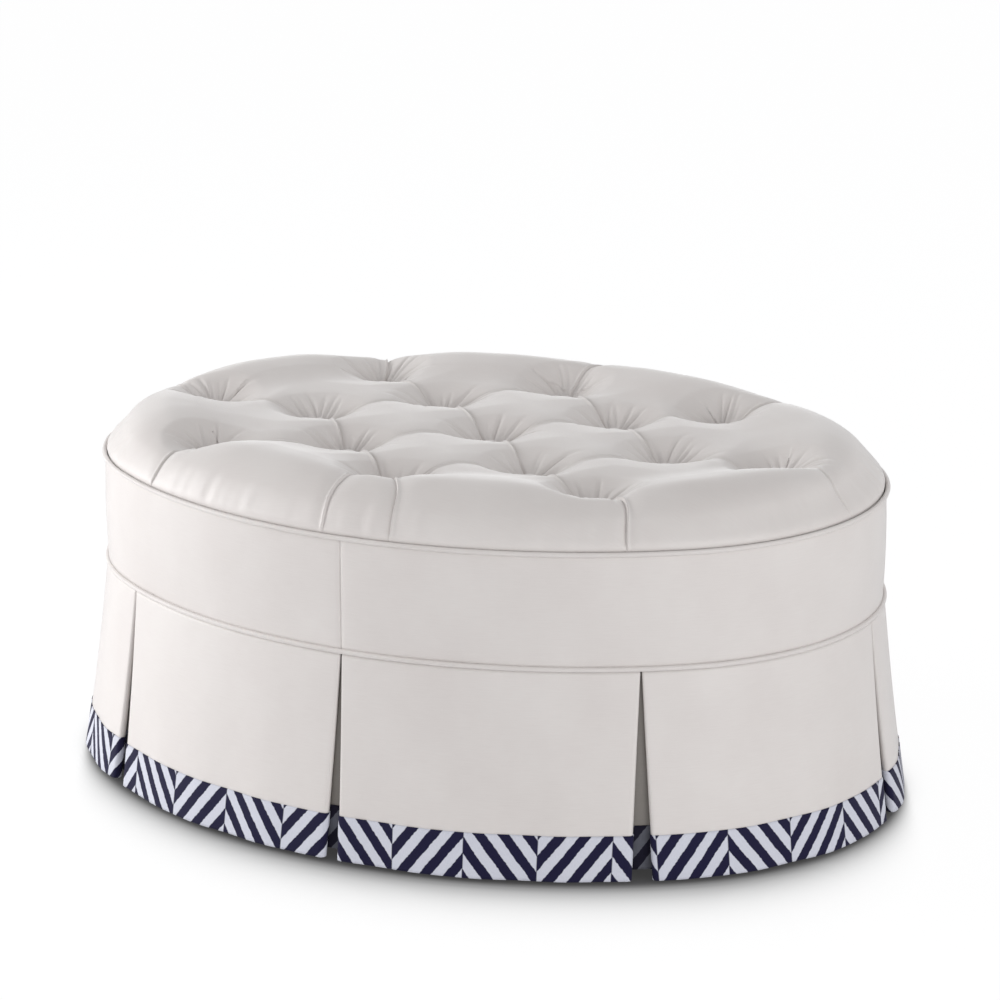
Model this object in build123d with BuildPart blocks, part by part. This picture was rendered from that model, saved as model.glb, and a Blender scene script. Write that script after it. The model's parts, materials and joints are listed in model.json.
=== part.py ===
from build123d import *
import os
from math import atan2, cos, degrees, hypot, radians, sin

# Oval footstool with a deep-tufted top, a boxed band between two welts and a
# floor-length skirt of eight panels with kick pleats. Millimetres, +Z up, the
# long way of the oval along X, the front at -Y, and the floor at Z = 0.

# Driving dimensions of the oval and the heights, all on the face of the band
half_length = 492.0
half_width = 371.0
end_round_share = 0.836
foot_height = 120.0
lower_welt_height = 247.0
band_height = 134.0
crown_height = 61.0
hem_height = 6.0
skirt_flare = 33.0
tape_height = 51.0
panel_count = 8

# Cloth, cord and padding
clearance = 0.25
band_cloth = 1.6
skirt_cloth = 2.2
tape_cloth = 0.9
welt_radius = 2.9
padding_thickness = 10.0
slab_thickness = 39.0

# Pleats: the gap at the hem follows each pleat's share, and the top is almost shut
hem_gap = 24.0
top_gap = 1.6
pleat_shares = (0.0, 0.128, 0.2564, 0.378, 0.5, 0.622, 0.7436, 0.869)
hem_gap_shares = (0.7, 1.0, 0.95, 1.0, 0.8, 1.0, 0.95, 1.0)
hem_fold_radius = 4.0
top_fold_radius = 1.6
return_length = 44.0
backing_half_width = 60.0
backing_lift = 8.0
backing_setback = 15.0

# Frame
board_thickness = 3.0
ring_thickness = 18.0
ring_width = 95.0
deck_thickness = 18.0
post_side = 38.0
post_setback = 1.5
rail_width = 22.0
rail_height = 50.0
rail_place_share = 0.366
rail_end_room = 60.0
tack_rail_height = 30.0
dust_cover_thickness = 0.8

# Feet and their fixings
foot_top_side = 62.0
foot_floor_side = 44.0
foot_share = 0.145
foot_inset = 47.0
glide_height = 5.0
glide_radius = 14.0
glide_edge = 1.0
nail_radius = 1.5
nail_length = 16.0
bolt_radius = 4.0
bolt_depth = 40.0
bolt_show = 6.0
nut_radius = 5.2
nut_flange_radius = 11.0
nut_flange_thickness = 1.5
nut_length = 14.0
fit_clearance = 0.1

# Tufts set by hand, as shares of the half length and the half width
tuft_shares = (
    (0.0, 0.0),
    (0.224, 0.326), (-0.258, 0.321), (-0.266, -0.313), (0.228, -0.313),
    (0.476, 0.0), (-0.484, 0.0), (-0.028, 0.647), (-0.022, -0.636),
    (0.451, 0.547), (-0.524, 0.545), (-0.553, -0.55), (0.476, -0.542),
    (0.768, 0.0), (-0.797, 0.0),
)
outer_tuft_share = 0.6
tuft_depth = 46.0
tuft_mouth_radius = 64.0
button_radius = 10.5
button_height = 7.0
button_edge = 3.0
twine_radius = 1.5
twine_room = 0.6
toggle_radius = 12.0
toggle_height = 5.0

# Crown: rise above its seam and inset from the band's face, as shares of their sizes
crown_roll = 112.0
crown_rise_shares = (0.0, 0.05, 0.12, 0.25, 0.42, 0.58, 0.74, 0.86, 0.95, 1.0)
crown_inset_shares = (0.022, 0.004, 0.004, 0.036, 0.098, 0.188, 0.339, 0.509, 0.714, 1.0)
# Dish inside the crown's roll: inset in rolls and depth at each edge
dish_depth = 13.0
dish_sections_shares = ((0.95, -0.15), (1.35, 0.55), (1.95, 1.0))

# Tuft wells: reach and height at each edge of their stepped cone
tuft_well_shares = ((0.18, 0.0), (0.3, 0.42), (0.58, 0.78), (1.0, 1.0))

# Folds between tufts: place along the fold, half width and depth at each section
fold_width = 34.0
fold_depth = 30.0
fold_sections_shares = ((0.0, 1.0, 0.9), (0.5, 0.75, 0.5), (1.0, 1.0, 0.9))
fold_waist_shares = (0.4, 0.5)
fold_reach_share = 0.29
# Pleats from the outer tufts to the upper welt: place, half width and height left
edge_sections_shares = (
    (0.0, 1.0, 0.62), (0.4, 0.8, 0.8), (0.72, 0.7, 0.6), (0.92, 0.6, 0.28), (1.03, 0.5, 0.02),
)
edge_waist_shares = (0.3, 0.35)
edge_flare_share = 0.9
overrun = 20.0

# Heights and layers worked out from the sizes above
ring_base = glide_height + foot_height
ring_top = ring_base + ring_thickness
upper_welt_height = lower_welt_height + band_height
crown_base = upper_welt_height + welt_radius + clearance
crown_top = crown_base + crown_height
tuft_floor = crown_top - tuft_depth
deck_top = crown_base - clearance - slab_thickness
deck_base = deck_top - deck_thickness
skirt_top = lower_welt_height - welt_radius - clearance
band_base = lower_welt_height + welt_radius + clearance
band_top = upper_welt_height - welt_radius - clearance
padding_face = -band_cloth - clearance
padding_back = padding_face - padding_thickness
board_face = padding_back - clearance
board_back = board_face - board_thickness
frame_face = board_back - clearance
welt_middle = welt_radius - band_cloth

# The oval: two end arcs and two side arcs that meet on a shared outward angle
end_radius = half_width * end_round_share
end_middle = half_length - end_radius
side_radius = (end_middle ** 2 + half_width ** 2 - end_radius ** 2) / (2 * (half_width - end_radius))
side_middle = side_radius - half_width
join_angle = degrees(atan2(side_middle, end_middle))
side_way = side_radius * radians(90 - join_angle)
end_way = end_radius * radians(join_angle)
oval_spans = (
    (side_way, 90 - join_angle), (2 * end_way, 2 * join_angle),
    (2 * side_way, 180 - 2 * join_angle), (2 * end_way, 2 * join_angle), (side_way, 90 - join_angle),
)
quarter_way = side_way + end_way


def outward_angle(share):
    """Angle of the oval's outward normal, a share of the way round from the front centre."""
    way = share * 4 * quarter_way
    angle = -90.0
    for length, sweep in oval_spans:
        if way <= length:
            break
        way -= length
        angle += sweep
    return angle + sweep * way / length


def arc_at(angle):
    """Centre and radius of the oval's arc that has this outward angle."""
    turned = (angle + 180) % 360 - 180
    if abs(turned) <= join_angle:
        return end_middle, 0.0, end_radius
    if abs(turned) >= 180 - join_angle:
        return -end_middle, 0.0, end_radius
    if turned > 0:
        return 0.0, -side_middle, side_radius
    return 0.0, side_middle, side_radius


def arc_over(x, y):
    """Centre and radius of the arc whose outward lines pass through a place inside the oval."""
    if degrees(atan2(abs(y), abs(x) - end_middle)) <= join_angle:
        return (end_middle if x > 0 else -end_middle), 0.0, end_radius
    return 0.0, (-side_middle if y > 0 else side_middle), side_radius


def oval_point(angle, grow):
    """Point on the oval at this outward angle, grown outside the band's face."""
    x, y, radius = arc_at(angle)
    reach = radius + grow
    return x + reach * cos(radians(angle)), y + reach * sin(radians(angle))


def angle_step(angle, length):
    """Angle that this length of the band's face takes."""
    return degrees(length / arc_at(angle)[2])


def upright_plane(angle, grow, height):
    """Level plane at a place on the oval, with its X pointing outward."""
    x, y = oval_point(angle, grow)
    return Plane(origin=(x, y, height), x_dir=(cos(radians(angle)), sin(radians(angle)), 0), z_dir=(0, 0, 1))


def draw_oval(grow):
    """Draw the whole oval, grown outside the band's face."""
    CenterArc((end_middle, 0), end_radius + grow, -join_angle, 2 * join_angle)
    CenterArc((0, -side_middle), side_radius + grow, join_angle, 180 - 2 * join_angle)
    CenterArc((-end_middle, 0), end_radius + grow, 180 - join_angle, 2 * join_angle)
    CenterArc((0, side_middle), side_radius + grow, 180 + join_angle, 180 - 2 * join_angle)


def draw_run(start, end, grow):
    """Draw a stretch of the oval as one arc on each side of a join that it crosses."""
    joins = [-join_angle, join_angle, 180 - join_angle, 180 + join_angle, 360 - join_angle]
    low, high = min(start, end), max(start, end)
    stops = [low] + [angle for angle in joins if low < angle < high] + [high]
    if start > end:
        stops.reverse()
    for first, last in zip(stops, stops[1:]):
        middle = (first + last) / 2
        ThreePointArc(oval_point(first, grow), oval_point(middle, grow), oval_point(last, grow))


def draw_tuck(start, end, grow):
    """Draw a short stretch of the oval as a single arc."""
    ThreePointArc(*[oval_point(angle, grow) for angle in (start, (start + end) / 2, end)])


def turn_point(angle, grow, radius, turn):
    """Point on the small circle round a fold, turned from the outward direction."""
    x, y = oval_point(angle, grow)
    return x + radius * cos(radians(angle + turn)), y + radius * sin(radians(angle + turn))


def draw_turn(angle, grow, radius, first, last):
    """Draw half a turn round a fold, as two quarter arcs."""
    middle = (first + last) / 2
    for a, b in ((first, middle), (middle, last)):
        stops = [turn_point(angle, grow, radius, turn) for turn in (a, (a + b) / 2, b)]
        ThreePointArc(*stops)


def draw_folded_cloth(start, end, grow, cloth, fold_radius, tuck):
    """Draw a strip of cloth along the oval, with both ends folded back behind it."""
    half = cloth / 2
    behind = grow - 2 * fold_radius
    start_tip = start + angle_step(start, tuck)
    end_tip = end - angle_step(end, tuck)
    draw_tuck(start_tip, start, behind - half)
    draw_turn(start, grow - fold_radius, fold_radius + half, 180, 360)
    draw_run(start, end, grow + half)
    draw_turn(end, grow - fold_radius, fold_radius + half, 0, 180)
    draw_tuck(end, end_tip, behind - half)
    Line(oval_point(end_tip, behind - half), oval_point(end_tip, behind + half))
    draw_tuck(end_tip, end, behind + half)
    draw_turn(end, grow - fold_radius, fold_radius - half, 180, 0)
    draw_run(end, start, grow - half)
    draw_turn(start, grow - fold_radius, fold_radius - half, 360, 180)
    draw_tuck(start, start_tip, behind + half)
    Line(oval_point(start_tip, behind + half), oval_point(start_tip, behind - half))


def draw_flat_cloth(middle, half_span, grow, cloth):
    """Draw a plain strip of cloth along the oval, this far each side of its middle."""
    step = angle_step(middle, half_span)
    outside = [oval_point(middle + turn, grow + cloth / 2) for turn in (-step, 0, step)]
    inside = [oval_point(middle + turn, grow - cloth / 2) for turn in (step, 0, -step)]
    ThreePointArc(*outside)
    Line(outside[2], inside[0])
    ThreePointArc(*inside)
    Line(inside[2], outside[0])


def between(hem_value, top_value, height):
    """Value at a height on a cloth that runs straight from the hem to the top of the skirt."""
    share = (height - hem_height) / (skirt_top - hem_height)
    return hem_value + (top_value - hem_value) * share


def pleat_angle(index):
    """Outward angle at a pleat, counted round from the front centre."""
    lap, place = divmod(index, panel_count)
    return outward_angle(lap + pleat_shares[place])


def panel_section(index, height):
    """Start and end angles, middle layer and fold radius of a skirt panel at a height."""
    fold_radius = between(hem_fold_radius, top_fold_radius, height)
    grow = between(skirt_flare - skirt_cloth / 2, skirt_cloth / 4, height)
    ends = []
    for pleat, side in ((index, 1), (index + 1, -1)):
        share = hem_gap_shares[pleat % len(hem_gap_shares)]
        half_gap = between(hem_gap * share, top_gap, height) / 2
        angle = pleat_angle(pleat)
        ends.append(angle + side * angle_step(angle + side, half_gap + fold_radius + skirt_cloth / 2))
    return ends[0], ends[1], grow, fold_radius


os.makedirs("parts", exist_ok=True)

# Frame: a ring at the bottom, posts, a deck on top and a bent board around them
foot_turns = [outward_angle(share) for share in (foot_share, 0.5 - foot_share, 0.5 + foot_share, 1 - foot_share)]
foot_places = [oval_point(turn, frame_face - foot_inset) for turn in foot_turns]

with BuildPart() as bottom_ring:
    with BuildSketch(Plane.XY.offset(ring_base)):
        with BuildLine():
            draw_oval(frame_face)
        make_face()
        with BuildLine():
            draw_oval(frame_face - ring_width)
        make_face(mode=Mode.SUBTRACT)
        with Locations(*foot_places):
            Circle(nut_radius + fit_clearance, mode=Mode.SUBTRACT)
    extrude(amount=ring_thickness)
bottom_ring.part.label = "bottom_ring"
export_step(bottom_ring.part, "parts/bottom_ring.step")

for index in range(panel_count):
    place = upright_plane(outward_angle(index / panel_count), frame_face - post_setback - post_side / 2, ring_top)
    with BuildPart() as frame_post:
        with BuildSketch(place):
            Rectangle(post_side, post_side)
        extrude(amount=deck_base - ring_top)
    frame_post.part.label = f"frame_post_{index + 1}"
    export_step(frame_post.part, f"parts/{frame_post.part.label}.step")

tuft_places = [(x * half_length, y * half_width) for x, y in tuft_shares]
fold_reach = hypot(half_length, half_width) * fold_reach_share
with BuildPart() as deck_board:
    with BuildSketch(Plane.XY.offset(deck_base)):
        with BuildLine():
            draw_oval(frame_face)
        make_face()
        with Locations(*tuft_places):
            Circle(twine_radius + 4 * twine_room, mode=Mode.SUBTRACT)
    extrude(amount=deck_thickness)
deck_board.part.label = "deck_board"
export_step(deck_board.part, "parts/deck_board.step")

for side, name in ((-1, "deck_rail_left"), (1, "deck_rail_right")):
    with BuildPart() as deck_rail:
        with BuildSketch(Plane.XY.offset(deck_base)):
            with Locations((side * half_length * rail_place_share, 0)):
                Rectangle(rail_width, 2 * (half_width - rail_end_room))
        extrude(amount=-rail_height)
    deck_rail.part.label = name
    export_step(deck_rail.part, f"parts/{name}.step")

for side, name in ((-1, "side_board_front"), (1, "side_board_rear")):
    with BuildPart() as side_board:
        with BuildSketch(Plane.XY.offset(ring_base)):
            with BuildLine():
                draw_oval(board_face)
            make_face()
            with BuildLine():
                draw_oval(board_back)
            make_face(mode=Mode.SUBTRACT)
        extrude(amount=deck_top - ring_base)
        split(bisect_by=Plane(origin=(0, side * clearance / 2, 0), z_dir=(0, side, 0)))
    side_board.part.label = name
    export_step(side_board.part, f"parts/{name}.step")

with BuildPart() as dust_cover:
    with BuildSketch(Plane.XY.offset(ring_base)):
        with BuildLine():
            draw_oval(frame_face)
        make_face()
        with Locations(*foot_places):
            Rectangle(foot_top_side + 2 * clearance, foot_top_side + 2 * clearance, mode=Mode.SUBTRACT)
    extrude(amount=-dust_cover_thickness)
dust_cover.part.label = "dust_cover"
export_step(dust_cover.part, "parts/dust_cover.step")

# Feet: tapered blocks on nailed glides, each on one bolt into a nut in the ring
foot_names = ("foot_front_right", "foot_rear_right", "foot_rear_left", "foot_front_left")
for (x, y), name in zip(foot_places, foot_names):
    with BuildPart() as foot:
        with BuildSketch(Plane(origin=(x, y, glide_height))):
            Rectangle(foot_floor_side, foot_floor_side)
        with BuildSketch(Plane(origin=(x, y, ring_base))):
            Rectangle(foot_top_side, foot_top_side)
        loft()
        with BuildSketch(Plane(origin=(x, y, ring_base))):
            Circle(bolt_radius + fit_clearance)
        extrude(amount=-bolt_depth - clearance, mode=Mode.SUBTRACT)
        with BuildSketch(Plane(origin=(x, y, glide_height))):
            Circle(nail_radius + fit_clearance)
        extrude(amount=nail_length + clearance, mode=Mode.SUBTRACT)
    foot.part.label = name
    export_step(foot.part, f"parts/{name}.step")

with BuildPart() as floor_glides:
    with BuildSketch():
        with Locations(*foot_places):
            Circle(glide_radius)
    extrude(amount=glide_height)
    chamfer(floor_glides.faces().filter_by(Axis.Z).group_by(Axis.Z)[0].edges(), length=glide_edge)
    with BuildSketch(Plane.XY.offset(glide_height)):
        with Locations(*foot_places):
            Circle(nail_radius)
    extrude(amount=nail_length)
floor_glides.part.label = "floor_glides"
export_step(floor_glides.part, "parts/floor_glides.step")

with BuildPart() as hanger_bolts:
    with BuildSketch(Plane.XY.offset(ring_base - bolt_depth)):
        with Locations(*foot_places):
            Circle(bolt_radius)
    extrude(amount=bolt_depth + ring_thickness + nut_flange_thickness + bolt_show)
hanger_bolts.part.label = "hanger_bolts"
export_step(hanger_bolts.part, "parts/hanger_bolts.step")

with BuildPart() as tee_nuts:
    with BuildSketch(Plane.XY.offset(ring_top)):
        with Locations(*foot_places):
            Circle(nut_flange_radius)
    extrude(amount=nut_flange_thickness)
    with BuildSketch(Plane.XY.offset(ring_top)):
        with Locations(*foot_places):
            Circle(nut_radius)
    extrude(amount=-nut_length)
    with BuildSketch(Plane.XY.offset(ring_top - nut_length)):
        with Locations(*foot_places):
            Circle(bolt_radius + fit_clearance)
    extrude(amount=nut_length + nut_flange_thickness, mode=Mode.SUBTRACT)
tee_nuts.part.label = "tee_nuts"
export_step(tee_nuts.part, "parts/tee_nuts.step")

# Band: padding over the board, two lengths of cloth and the welts above and below
with BuildPart() as band_padding:
    with BuildSketch(Plane.XY.offset(skirt_top + clearance)):
        with BuildLine():
            draw_oval(padding_face)
        make_face()
        with BuildLine():
            draw_oval(padding_back)
        make_face(mode=Mode.SUBTRACT)
    extrude(amount=crown_base - skirt_top - 2 * clearance)
band_padding.part.label = "band_padding"
export_step(band_padding.part, "parts/band_padding.step")

for side, name in ((-1, "band_left"), (1, "band_right")):
    with BuildPart() as band:
        with BuildSketch(Plane.XY.offset(band_base)):
            with BuildLine():
                draw_oval(0)
            make_face()
            with BuildLine():
                draw_oval(-band_cloth)
            make_face(mode=Mode.SUBTRACT)
        extrude(amount=band_top - band_base)
        split(bisect_by=Plane(origin=(side * clearance / 2, 0, 0), z_dir=(side, 0, 0)))
    band.part.label = name
    export_step(band.part, f"parts/{name}.step")

for height, name in ((lower_welt_height, "lower_welt"), (upper_welt_height, "upper_welt")):
    with BuildPart() as welt:
        with BuildLine(Plane.XY.offset(height)):
            draw_oval(welt_middle)
        start_x, start_y = oval_point(-join_angle, welt_middle)
        heading = (-sin(radians(-join_angle)), cos(radians(-join_angle)), 0)
        with BuildSketch(Plane(origin=(start_x, start_y, height), z_dir=heading)):
            Circle(welt_radius)
        sweep()
    welt.part.label = name
    export_step(welt.part, f"parts/{name}.step")

# Skirt: a rail to tack it to, eight panels folded back at their ends, and a
# backing flap behind each pleat, all with a woven tape along the hem
backing_top_layer = skirt_cloth / 4 - 2 * top_fold_radius - skirt_cloth - clearance
tack_rail_face = backing_top_layer - skirt_cloth / 2 - clearance
with BuildPart() as tack_rail:
    with BuildSketch(Plane.XY.offset(skirt_top)):
        with BuildLine():
            draw_oval(tack_rail_face)
        make_face()
        with BuildLine():
            draw_oval(board_face + clearance)
        make_face(mode=Mode.SUBTRACT)
    extrude(amount=-tack_rail_height)
tack_rail.part.label = "tack_rail"
export_step(tack_rail.part, "parts/tack_rail.step")

for index in range(panel_count):
    with BuildPart() as skirt_panel:
        for height in (hem_height, skirt_top):
            start, end, grow, fold_radius = panel_section(index, height)
            with BuildSketch(Plane.XY.offset(height)):
                with BuildLine():
                    draw_folded_cloth(start, end, grow, skirt_cloth, fold_radius, return_length)
                make_face()
        loft(ruled=True)
    skirt_panel.part.label = f"skirt_panel_{index + 1}"
    export_step(skirt_panel.part, f"parts/{skirt_panel.part.label}.step")

tape_offset = skirt_cloth / 2 + clearance + tape_cloth / 2
for index in range(panel_count):
    with BuildPart() as hem_tape:
        for height in (hem_height, hem_height + tape_height):
            start, end, grow, fold_radius = panel_section(index, height)
            with BuildSketch(Plane.XY.offset(height)):
                with BuildLine():
                    draw_folded_cloth(
                        start, end, grow + tape_offset, tape_cloth, fold_radius + tape_offset, return_length / 2
                    )
                make_face()
        loft(ruled=True)
    hem_tape.part.label = f"hem_tape_{index + 1}"
    export_step(hem_tape.part, f"parts/{hem_tape.part.label}.step")

backing_hem = hem_height + backing_lift
backing_hem_layer = skirt_flare - backing_setback


def backing_layer(height):
    """Middle layer of a pleat backing at a height."""
    share = (height - backing_hem) / (skirt_top - backing_hem)
    return backing_hem_layer + (backing_top_layer - backing_hem_layer) * share


for index in range(panel_count):
    with BuildPart() as pleat_backing:
        for height in (backing_hem, skirt_top):
            with BuildSketch(Plane.XY.offset(height)):
                with BuildLine():
                    draw_flat_cloth(pleat_angle(index), backing_half_width, backing_layer(height), skirt_cloth)
                make_face()
        loft(ruled=True)
    pleat_backing.part.label = f"pleat_backing_{index + 1}"
    export_step(pleat_backing.part, f"parts/{pleat_backing.part.label}.step")

with BuildPart() as backing_tapes:
    for index in range(panel_count):
        for height in (backing_hem, backing_hem + tape_height):
            with BuildSketch(Plane.XY.offset(height)):
                with BuildLine():
                    layer = backing_layer(height) + tape_offset
                    draw_flat_cloth(pleat_angle(index), backing_half_width, layer, tape_cloth)
                make_face()
        loft(ruled=True)
backing_tapes.part.label = "backing_tapes"
export_step(backing_tapes.part, "parts/backing_tapes.step")

# Seat: a foam slab on the deck and the tufted crown over it
with BuildPart() as seat_foam:
    with BuildSketch(Plane.XY.offset(deck_top)):
        with BuildLine():
            draw_oval(board_face)
        make_face()
        with Locations(*tuft_places):
            Circle(twine_radius + twine_room, mode=Mode.SUBTRACT)
    extrude(amount=slab_thickness)
seat_foam.part.label = "seat_foam"
export_step(seat_foam.part, "parts/seat_foam.step")

with BuildPart() as tuft_well:
    with BuildSketch(Plane.XZ):
        with BuildLine():
            slope = [(tuft_mouth_radius * reach, tuft_floor + tuft_depth * rise) for reach, rise in tuft_well_shares]
            Polyline(
                (0, tuft_floor), *slope,
                (tuft_mouth_radius, crown_top + overrun), (0, crown_top + overrun), close=True,
            )
        make_face()
    revolve(axis=Axis.Z)


def fold_plane(x, y, along, distance):
    """Upright plane across a fold, this far along it from a tuft."""
    middle = (x + along[0] * distance, y + along[1] * distance, 0)
    return Plane(origin=middle, x_dir=(-along[1], along[0], 0), z_dir=(along[0], along[1], 0))


tuft_folds = []
for number, (x, y) in enumerate(tuft_places):
    for other_x, other_y in tuft_places[number + 1:]:
        run = hypot(other_x - x, other_y - y)
        if run > fold_reach:
            continue
        along = ((other_x - x) / run, (other_y - y) / run)
        with BuildPart() as fold:
            for place, width_share, depth_share in fold_sections_shares:
                half = fold_width * width_share
                waist = half * fold_waist_shares[0]
                low = crown_top - fold_depth * depth_share
                knee = crown_top + (low - crown_top) * fold_waist_shares[1]
                high = crown_top + overrun
                with BuildSketch(fold_plane(x, y, along, run * place)):
                    with BuildLine():
                        Polyline(
                            (-half, high), (half, high), (half, crown_top), (waist, knee), (0, low),
                            (-waist, knee), (-half, crown_top), close=True,
                        )
                    make_face()
            loft(ruled=True)
        tuft_folds.append(fold.part)

outer_tufts = [place for place, shares in zip(tuft_places, tuft_shares) if hypot(*shares) > outer_tuft_share]
for x, y in outer_tufts:
    centre_x, centre_y, radius = arc_over(x, y)
    reach = hypot(x - centre_x, y - centre_y)
    along = ((x - centre_x) / reach, (y - centre_y) / reach)
    with BuildPart() as fold:
        for place, width_share, height_share in edge_sections_shares:
            half = fold_width * width_share
            waist = half * edge_waist_shares[0]
            low = crown_base + crown_height * height_share
            high = crown_top + overrun
            knee = low + (high - low) * edge_waist_shares[1]
            flare = low + (high - low) * edge_flare_share
            with BuildSketch(fold_plane(x, y, along, (radius - reach) * place)):
                with BuildLine():
                    Polyline(
                        (-half, high), (half, high), (half, flare), (waist, knee), (0, low),
                        (-waist, knee), (-half, flare), close=True,
                    )
                make_face()
        loft(ruled=True)
    tuft_folds.append(fold.part)

with BuildPart() as crown_dish:
    for inset, depth in dish_sections_shares:
        with BuildSketch(Plane.XY.offset(crown_top - dish_depth * depth)):
            with BuildLine():
                draw_oval(-crown_roll * inset)
            make_face()
    loft(ruled=True)

with BuildPart() as tufted_top:
    for rise, inset in zip(crown_rise_shares, crown_inset_shares):
        with BuildSketch(Plane.XY.offset(crown_base + crown_height * rise)):
            with BuildLine():
                draw_oval(-crown_roll * inset)
            make_face()
    loft(ruled=True)
    add(crown_dish.part, mode=Mode.SUBTRACT)
    with Locations(*tuft_places):
        add(tuft_well.part, mode=Mode.SUBTRACT)
    add(tuft_folds, mode=Mode.SUBTRACT)
    with BuildSketch(Plane.XY.offset(crown_base)):
        with Locations(*tuft_places):
            Circle(twine_radius + twine_room)
    extrude(amount=tuft_floor - crown_base + overrun, mode=Mode.SUBTRACT)
tufted_top.part.label = "tufted_top"
export_step(tufted_top.part, "parts/tufted_top.step")

# Tuft fixings: a covered button in each well, its twine and a toggle under the deck
with BuildPart() as tuft_buttons:
    with BuildSketch(Plane.XY.offset(tuft_floor + clearance)):
        with Locations(*tuft_places):
            Circle(button_radius)
    extrude(amount=button_height)
    chamfer(tuft_buttons.faces().filter_by(Axis.Z).group_by(Axis.Z)[-1].edges(), length=button_edge)
tuft_buttons.part.label = "tuft_buttons"
export_step(tuft_buttons.part, "parts/tuft_buttons.step")

toggle_top = deck_base - clearance
with BuildPart() as tuft_toggles:
    with BuildSketch(Plane.XY.offset(toggle_top)):
        with Locations(*tuft_places):
            Circle(toggle_radius)
    extrude(amount=-toggle_height)
tuft_toggles.part.label = "tuft_toggles"
export_step(tuft_toggles.part, "parts/tuft_toggles.step")

with BuildPart() as tuft_twines:
    with BuildSketch(Plane.XY.offset(toggle_top)):
        with Locations(*tuft_places):
            Circle(twine_radius)
    extrude(amount=tuft_floor + clearance - toggle_top)
tuft_twines.part.label = "tuft_twines"
export_step(tuft_twines.part, "parts/tuft_twines.step")
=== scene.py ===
"""Looks of an oval ottoman: tufted top, boxed band between welts, kick-pleat skirt with a chevron tape."""

import json
import logging
import math
from dataclasses import dataclass, field
from enum import Enum
from typing import Optional, Sequence

import bpy
import numpy as np
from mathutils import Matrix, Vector, geometry


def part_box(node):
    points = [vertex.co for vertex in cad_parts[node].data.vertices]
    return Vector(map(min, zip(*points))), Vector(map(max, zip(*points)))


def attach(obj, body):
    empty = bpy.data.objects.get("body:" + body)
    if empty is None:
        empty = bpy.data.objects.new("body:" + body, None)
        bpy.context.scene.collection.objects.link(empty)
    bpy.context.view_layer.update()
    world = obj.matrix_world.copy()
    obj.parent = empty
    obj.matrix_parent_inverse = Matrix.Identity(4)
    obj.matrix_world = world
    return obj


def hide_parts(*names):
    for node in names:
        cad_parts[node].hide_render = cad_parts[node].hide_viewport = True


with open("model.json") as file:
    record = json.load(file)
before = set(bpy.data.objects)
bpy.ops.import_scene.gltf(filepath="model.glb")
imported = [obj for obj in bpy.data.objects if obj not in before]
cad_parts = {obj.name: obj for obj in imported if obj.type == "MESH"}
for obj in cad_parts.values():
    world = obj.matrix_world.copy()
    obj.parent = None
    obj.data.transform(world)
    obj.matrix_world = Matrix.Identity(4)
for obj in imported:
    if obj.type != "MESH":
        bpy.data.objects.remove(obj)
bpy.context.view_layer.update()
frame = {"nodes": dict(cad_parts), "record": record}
log = logging.getLogger("ottoman")

BODY = "root"


class Side(Enum):
    """Which end of the oval a half of the band covers."""

    LEFT = -1
    RIGHT = 1


# Shapes that several pieces share


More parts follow.
